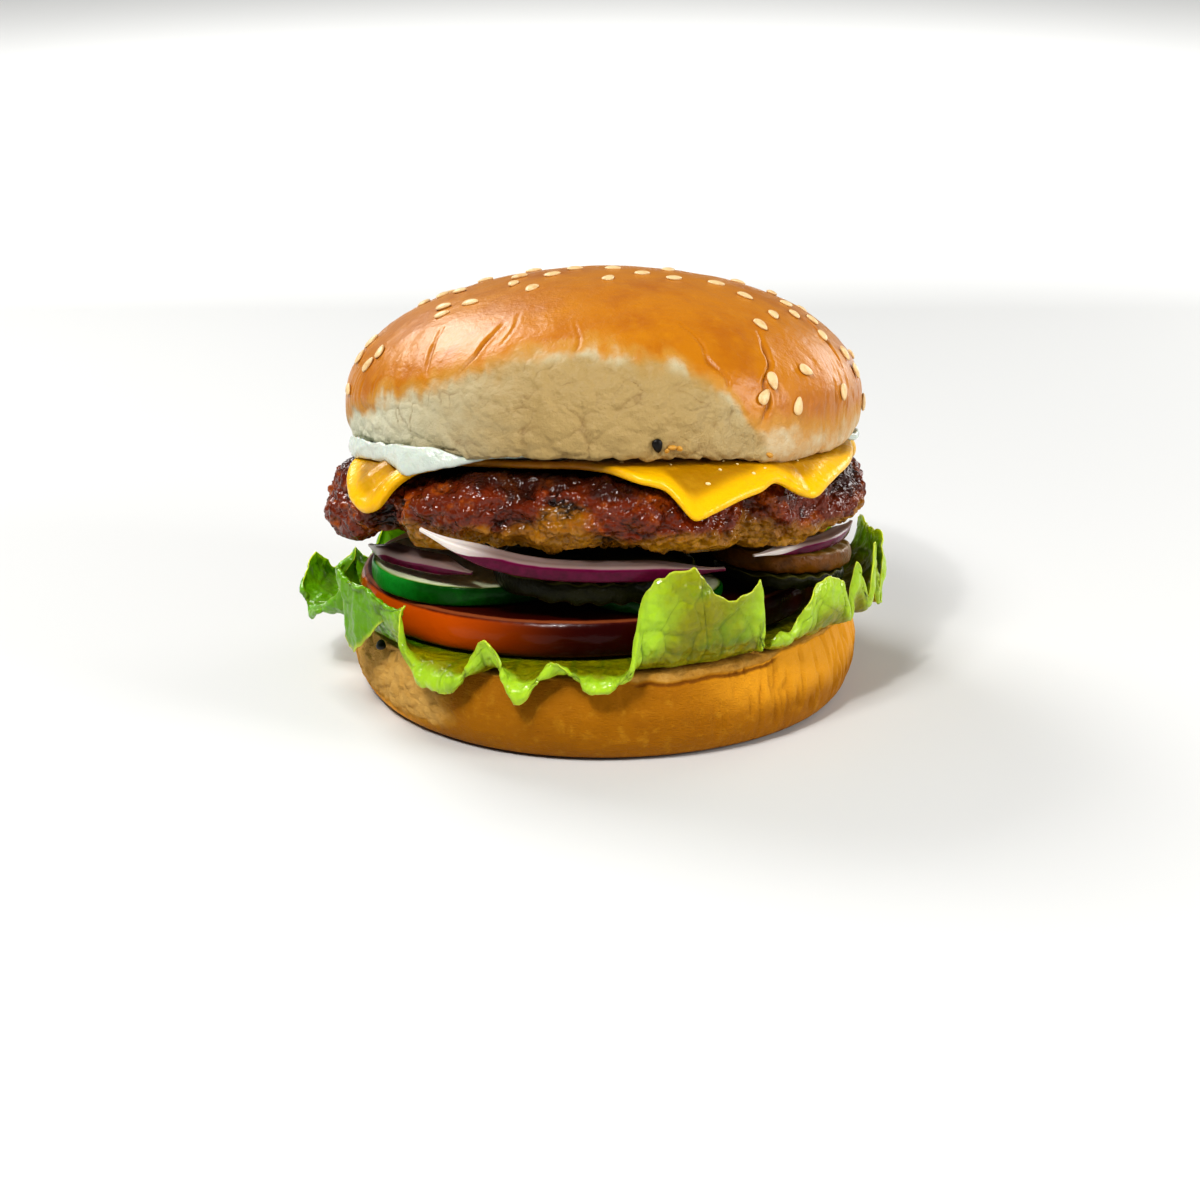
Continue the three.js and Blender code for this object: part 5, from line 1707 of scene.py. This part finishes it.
@dataclass
class SesameSeeds:
    """Seeds on the crown and two black ones, each given as bearing, slant and turn from level.

    Attributes:
        back_count: Number of seeds on the back, between two bearings and above the lowest slant.
        spacing: Least distance between a seed on the back and any other.
        risen: Height of a pale seed's middle above the skin.
        sunk: Depth of the black seed's middle below it.
        black: The black seed on the crown's rim.
        fallen: Bearing, reach, height and tilt of the black seed that fell on the heel.
    """

    crown: CrownBun
    slot: Slot = Slot.BREAD
    shape: GrainShape = GrainShape(3.4, 2.1, 0.95, 0.7, 0.08)
    black_shape: GrainShape = GrainShape(2.7, 1.8, 1.2, 0.7, 0.08)
    risen: float = 0.25
    sunk: float = 0.3
    back_count: int = 24
    back_from: float = 92.0
    back_to: float = 262.0
    lowest_slant: float = 16.0
    spacing: float = 7.2
    front: Rows = (
        (-61, 47, -31), (-55, 43, -45), (-50, 50, -20), (-76, 56, -42), (-86, 52, 40), (-96, 63, 84),
        (-48, 63, 58), (-62, 69, 97), (-32, 60, 85), (-38, 72, -63), (3, 68, -59), (28, 72, 0),
        (40, 66, 15), (12, 80, 16), (-38, 80, -33), (64, 74, 21), (54, 40, 128), (44, 36, 90),
        (74, 44, 27), (66, 39, 130), (67, 28, 138), (48, 15, 28), (37, 12, 90), (34, 6, -49),
        (43, 1, -76), (61, 4, 106), (83, -14, 96), (73, 19, 119), (75, 11, 90), (-66, 24, -117),
        (-68, 18, -61), (-76, 6, 27), (-81, 27, -90), (-79, 20, -112), (-88, 47, -145), (57, 60, 41),
        (56, 51, 90), (74, 35, 125),
    )
    black: tuple[float, float, float] = (10.4, -46, 78)
    fallen: tuple[float, float, float, float] = (-59.0, 49.4, 14.6, 55.0)

    def _places(self) -> list[tuple[float, ...]]:
        """Front seeds, and back seeds by an even rule that keeps them apart."""
        places = list(self.front)
        point = self.crown.skin_point
        lowest = math.sin(math.radians(self.lowest_slant))
        i = 0
        while len(places) < len(self.front) + self.back_count:
            along, up = (i * step % 1 for step in EVEN_STEPS)
            bearing = self.back_from + along * (self.back_to - self.back_from)
            slant = math.degrees(math.asin(lowest + up * (1 - lowest)))
            spot = point(bearing, slant)
            if min(np.linalg.norm(point(b, s) - spot) for b, s, _ in places) > self.spacing:
                places.append((bearing, slant, GOLDEN_TURN * i))
            i += 1
        return places

    def _laid(self, place: tuple[float, ...], rise: float) -> Matrix:
        """Place and turn of a seed on the leaning crown."""
        bearing, slant, turn = place
        point = self.crown.skin_point
        spot = Vector(point(bearing, slant))
        down = Vector(point(bearing, slant - 2) - point(bearing, slant + 2)).normalized()
        across = Vector(point(bearing + 2, slant) - point(bearing - 2, slant)).normalized()
        out = down.cross(across).normalized()
        basis = Matrix((across, out.cross(across), out)).transposed().to_4x4()
        spun = basis @ Matrix.Rotation(-math.radians(turn), 4, "Z")
        return LEAN.matrix() @ Matrix.Translation(spot + out * rise) @ spun

    def build(self, tree: ScatterTree) -> list[bpy.types.Object]:
        """The pale seeds and the black ones."""
        pale = [self._laid(place, self.risen) for place in self._places()]
        bearing, reach, height, tilt = self.fallen
        spot = Matrix.Translation(round_points(bearing, reach, height))
        turned = spot @ Matrix.Rotation(math.radians(bearing), 4, "Z")
        fallen = turned @ Matrix.Rotation(math.radians(tilt), 4, "X")
        black = [self._laid(self.black, -self.sunk), fallen]
        return [
            tree.grains("sesame_seeds", pale, self.shape, 4, SESAME),
            tree.grains("sesame_seeds_black", black, self.black_shape, 5, BLACK_SESAME),
        ]


@dataclass
class Crumbs:
    """Loose crumbs: browned ones under the crown's rim, pale ones on the cheese.

    Attributes:
        on_rim: Bearing and slant of each crumb that sticks to the crown's rim.
        on_cheese: Bearing and length along the slice of each crumb on the cheese.
        turn: Angle from one crumb's turn to the next one's, in radians, round the axis.
    """

    crown: CrownBun
    cheese: CheeseSlice
    slot: Slot = Slot.BREAD
    browned_length: float = 1.5
    pale_length: float = 0.8
    turn: float = 2.4
    axis: Spot = (0.2, 0.5, 1.0)
    on_rim: Rows = ((13.4, -48), (14.9, -50), (12.4, -56), (36, -58))
    on_cheese: Rows = (
        (3.5, 45.2), (24, 49.5), (26.5, 46.8), (31, 51.0), (29, 48.2), (34.5, 50.0), (38, 46.5),
        (45, 49.0), (20, 52.5), (14, 47.0), (51, 47.5),
    )

    def build(self, tree: ScatterTree) -> list[bpy.types.Object]:
        """The browned crumbs and the pale ones."""
        rim = [self.crown.skin_point(*place) for place in self.on_rim]
        top = [self.cheese.point(*place, CHEESE_THICKNESS) for place in self.on_cheese]
        pieces = []
        for name, points, length, finish in (
            ("crumbs_browned", rim, self.browned_length, BROWNED_CRUMB),
            ("crumbs_pale", top, self.pale_length, CRUMB),
        ):
            shape = GrainShape(length, length * 0.7, length * 0.55, 0.3, 0.35)
            spots = [
                LEAN.matrix() @ Matrix.Translation(point) @ Matrix.Rotation(self.turn * i, 4, self.axis)
                for i, point in enumerate(points)
            ]
            pieces.append(tree.grains(name, spots, shape, 6, finish))
        return pieces


# ------------------------------------------------------------------- studio


@dataclass(frozen=True)
class SoftLight:
    """Soft square light.

    Attributes:
        place: Where it is.
        aim: The spot it faces.
        size: Length of its sides.
        power: Its power in watts.
    """

    name: str
    place: Spot
    aim: Spot
    size: float
    power: float

    def build(self) -> None:
        """Adds the light."""
        data = bpy.data.lights.new(self.name, "AREA")
        data.size = self.size * MM
        data.energy = self.power
        lamp = add_object(self.name, data)
        lamp.location = Vector(self.place) * MM
        lamp.rotation_euler = (Vector(self.aim) - Vector(self.place)).to_track_quat("-Z", "Y").to_euler()


BURGER_MIDDLE = (0.0, 0.0, 38.0)


@dataclass
class Studio:
    """Pale floor, soft lights and the camera.

    Attributes:
        camera_down: Angle in degrees by which the camera looks down.
        backdrop: One of the lights that face away from the burger and brighten the far floor.
        backdrop_sides: Number of those lights, evenly round the burger.
    """

    lens: float = 78.66
    sensor: float = 36.0
    nearest_m: float = 0.01
    camera_place: Spot = (-0.8, -494.3, 182.8)
    camera_down: float = 18.75
    world_strength: float = 0.16
    lights: tuple[SoftLight, ...] = (
        SoftLight("key", (-230, -430, 640), BURGER_MIDDLE, 210, 3.4),
        SoftLight("small_key", (-200, -470, 560), BURGER_MIDDLE, 34, 1.2),
        SoftLight("fill", (560, -260, 260), BURGER_MIDDLE, 240, 2.1),
        SoftLight("window", (-400, 430, 560), BURGER_MIDDLE, 360, 3.8),
        SoftLight("back", (430, 380, 190), BURGER_MIDDLE, 260, 0.9),
    )
    backdrop: SoftLight = SoftLight("backdrop", (0, 560, 640), (0, 1750, 220), 500, 14.5)
    backdrop_sides: int = 4

    def build(self) -> None:
        """Makes the stage."""
        self._floor()
        for light in self.lights:
            light.build()
        for side in range(self.backdrop_sides):
            turn = Matrix.Rotation(side * math.tau / self.backdrop_sides, 3, "Z")
            place, aim = (tuple(turn @ Vector(spot)) for spot in (self.backdrop.place, self.backdrop.aim))
            replace(self.backdrop, name=f"backdrop_{side}", place=place, aim=aim).build()
        world = bpy.data.worlds.new("studio")
        world.use_nodes = True
        back = world.node_tree.nodes["Background"]
        back.inputs["Color"].default_value = (1.0, 1.0, 1.0, 1.0)
        back.inputs["Strength"].default_value = self.world_strength
        bpy.context.scene.world = world
        self._camera()
        view = bpy.context.scene.view_settings
        view.view_transform = "Standard"
        view.look = "Medium High Contrast"

    def _camera(self) -> None:
        """Camera that looks down at the burger's front."""
        camera = bpy.data.cameras.new("camera")
        camera.lens = self.lens
        camera.sensor_width = self.sensor
        camera.clip_start = self.nearest_m
        holder = add_object("camera", camera)
        holder.location = Vector(self.camera_place) * MM
        holder.rotation_euler = (math.radians(90.0 - self.camera_down), 0.0, 0.0)
        bpy.context.scene.camera = holder

    def _floor(self) -> None:
        """Large plain pale floor."""
        mesh = bpy.data.meshes.new("floor")
        signs = ((-1, -1), (1, -1), (1, 1), (-1, 1))
        corners = [(FLOOR_HALF_M * x, FLOOR_HALF_M * y, 0) for x, y in signs]
        mesh.from_pydata(corners, [], [(0, 1, 2, 3)])
        mesh.materials.append(Finish("studio_floor_matte", "d2d2d0", 0.7).material())
        floor = add_object("floor", mesh)


# --------------------------------------------------------------------- whole


FRONT_LEAF_EDGE = (
    (-138, -138, 51.2, 18.5), (-129, -128, 54.5, 26), (-120, -121, 56.5, 15), (-111, -110, 54.5, 20),
    (-104, -104, 56.0, 17.5), (-97, -98, 58.3, 22), (-92, -93, 59.6, 19), (-86, -87, 57.8, 12.4),
    (-80, -79, 54.0, 19), (-73, -70, 49.9, 31), (-69, -69, 54.0, 24), (-63, -64, 54.0, 13),
    (-56, -55, 53.0, 20), (-48, -44.5, 52.2, 26.5), (-43.5, -45, 52.8, 19.5), (-38, -38.5, 54.0, 12.4),
    (-31, -31, 54.0, 13), (-24, -24.5, 51.2, 23.7), (-17, -17, 54.3, 12.7), (-9, -9.5, 51.5, 20.8),
    (-1, -1, 53.8, 15), (4, 4.5, 53.0, 17.5), (8.5, 7.7, 51.2, 32.5), (17.5, 17.5, 52.0, 37.8),
    (23, 22, 51.6, 33), (28, 27.5, 51.4, 31.4), (32.5, 32.6, 52.0, 33), (35, 33.8, 51.2, 21),
)
FRONT_LEAF_CREST = (-62.0, 16.0, 28.0)
FRONT_LEAF_ROLLS = (
    (28.5, 5.0, 1.3), (17.0, 5.0, -0.8), (-44.0, 5.0, 1.0), (-24.0, 4.0, 1.4), (-8.0, 4.0, 1.0),
)
RIGHT_LEAF_EDGE = (
    (37.5, 37.5, 50.2, 20.5), (44, 44, 50.5, 22), (49, 48.5, 51.0, 27.5), (53.5, 53.5, 51.6, 30.5),
    (59, 59, 52.3, 26), (62.5, 61.5, 52.5, 20.5), (66.5, 64, 53.0, 30.5), (71, 68.5, 53.8, 22),
    (75, 71, 54.0, 33), (80, 77, 54.6, 18.5), (85, 83, 54.6, 26), (91, 90, 53.6, 29.6),
    (99, 98, 53.2, 28.5),
)


def right_leaf_edge() -> list[tuple[float, ...]]:
    """Right leaf's edge with the ruffles that go on round the back."""
    back = []
    for i in range(12):
        bearing, side, drift = 107 + 9.5 * i, 1 if i % 2 == 0 else -1, math.sin(1.7 * i)
        reach = 54.8 - 1.2 * side + 0.8 * drift
        back.append((bearing, bearing + 1.5 * drift, reach, 21 + 6.5 * side + 1.6 * drift))
    return [*RIGHT_LEAF_EDGE, *back]


def slices() -> list[FlatSlice]:
    """Tomato, cucumber and pickle slices."""
    on_tomato = Plane(23.95, 0.02, -0.04)
    tomato = FlatSlice(
        "tomato_slice", "tomato_slice_cut", Slot.TOMATO, TOMATO, x=-2.7, y=1.8, radius=45.7,
        bottom=Plane(16.6, 0.035, -0.035), top=Plane(23.6, 0.02, -0.04), edge=2.0, seed=5,
        radius_y=45.0, rind=0.7, ripe=(-54.0, 62.0), uneven=0.0,
    )
    cucumbers = [
        FlatSlice(
            f"cucumber_slice_{side}", f"cucumber_{side}", Slot.CUCUMBER, CUCUMBER, x, y, radius,
            on_tomato, top, edge, seed, ripe=ripe,
        )
        for side, x, y, radius, top, edge, seed, ripe in (
            ("left", -23.2, -10.7, 21.9, Plane(26.6, -0.01, -0.045), 0.5, 6, (-68.0, 62.0)),
            ("middle", 9.2, -27.0, 12.9, Plane(26.3, 0.01, -0.045), 0.4, 7, None),
            ("back", 14.0, 17.0, 19.8, Plane(27.5, 0.0, -0.1), 0.5, 8, None),
        )
    ]
    tilt = (-0.045, -0.09)
    pickles = [
        FlatSlice(
            f"pickle_slice_{level}", f"pickle_{level}", Slot.PICKLE, finish, x, y, radius,
            bottom, top, edge, seed, ridge=(ridge, 3.6),
        )
        for level, finish, x, y, radius, bottom, top, edge, seed, ridge in (
            ("middle", PICKLE, -1.7, -26.0, 19.1, Plane(27.0, -0.01, -0.046), Plane(31.0, -0.01, -0.046),
             1.0, 9, 0.3),
            ("lower", PICKLE, 33.2, -17.6, 12.6, Plane(26.15, *tilt), Plane(28.55, *tilt), 0.7, 10, 0.3),
            ("upper", WARM_PICKLE, 33.5, -15.2, 13.8, Plane(28.85, *tilt), Plane(32.4, -0.045, -0.1),
             0.9, 11, 0.1),
        )
    ]
    return [tomato, *cucumbers, *pickles]


def onions() -> list[OnionStrip]:
    """The three strips of red onion."""
    front = (
        (-33.4, -42.0, 42.6), (-26, -44.5, 39.4), (-18, -45.8, 37.0), (-8, -46.0, 35.5),
        (4, -45.6, 35.2), (14, -44.2, 35.1), (22, -41.4, 34.9),
    )
    left = (
        (-45.6, -10, 29.6), (-42.6, -18.5, 30.6), (-37.4, -25.2, 31.2), (-31, -30.6, 31.6),
        (-24.6, -34.6, 31.9),
    )
    right = (
        (27.6, -34.6, 35.3), (34.0, -30.6, 35.0), (39.6, -26.0, 34.4), (43.8, -20.2, 33.9),
        (46.6, -13.6, 33.5), (48.2, -7.5, 33.7),
    )
    return [
        OnionStrip("onion_strip_front", "onion_front", front, height=2.7, width=4.0, rise=0.1, seed=61),
        OnionStrip("onion_strip_left", "onion_left", left, 2.6, 3.4, 0.3, seed=62, purple_top=0.1),
        OnionStrip("onion_strip_right", "onion_right", right, 1.8, 2.8, 0.1, seed=63, purple_top=0.3),
    ]


def report(piece: bpy.types.Object, node: str | None = None) -> None:
    """Ties a finished piece to the frame and logs it.

    Args:
        piece: The finished object.
        node: CAD node that it stands for, if any.
    """
    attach(piece, "root")
    if node:
        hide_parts(node)
    log.info("%s: %d faces", piece.name, len(piece.data.polygons))


def main() -> None:
    """Builds the burger from the heel up, then the stage."""
    logging.basicConfig(level=logging.INFO, format="%(message)s")
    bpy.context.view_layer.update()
    leaves = (
        LettuceLeaf(
            "lettuce_leaf_front", "lettuce_front", FRONT_LEAF_EDGE, seed=31, rolls=FRONT_LEAF_ROLLS,
            crest=FRONT_LEAF_CREST,
        ),
        LettuceLeaf("lettuce_leaf_right", "lettuce_right", right_leaf_edge(), seed=47, bright=0.6),
    )
    cheese = CheeseSlice()
    crown = CrownBun()
    on_patty = (BeefPatty(), cheese, Mayonnaise(cheese), crown)
    for part in (HeelBun(), *leaves, *slices(), *onions(), *on_patty):
        report(part.build(), part.node)
    tree = ScatterTree()
    for scattered in (SesameSeeds(crown), Crumbs(crown, cheese)):
        for piece in scattered.build(tree):
            report(piece)
    Studio().build()


if __name__ == "__main__":
    main()
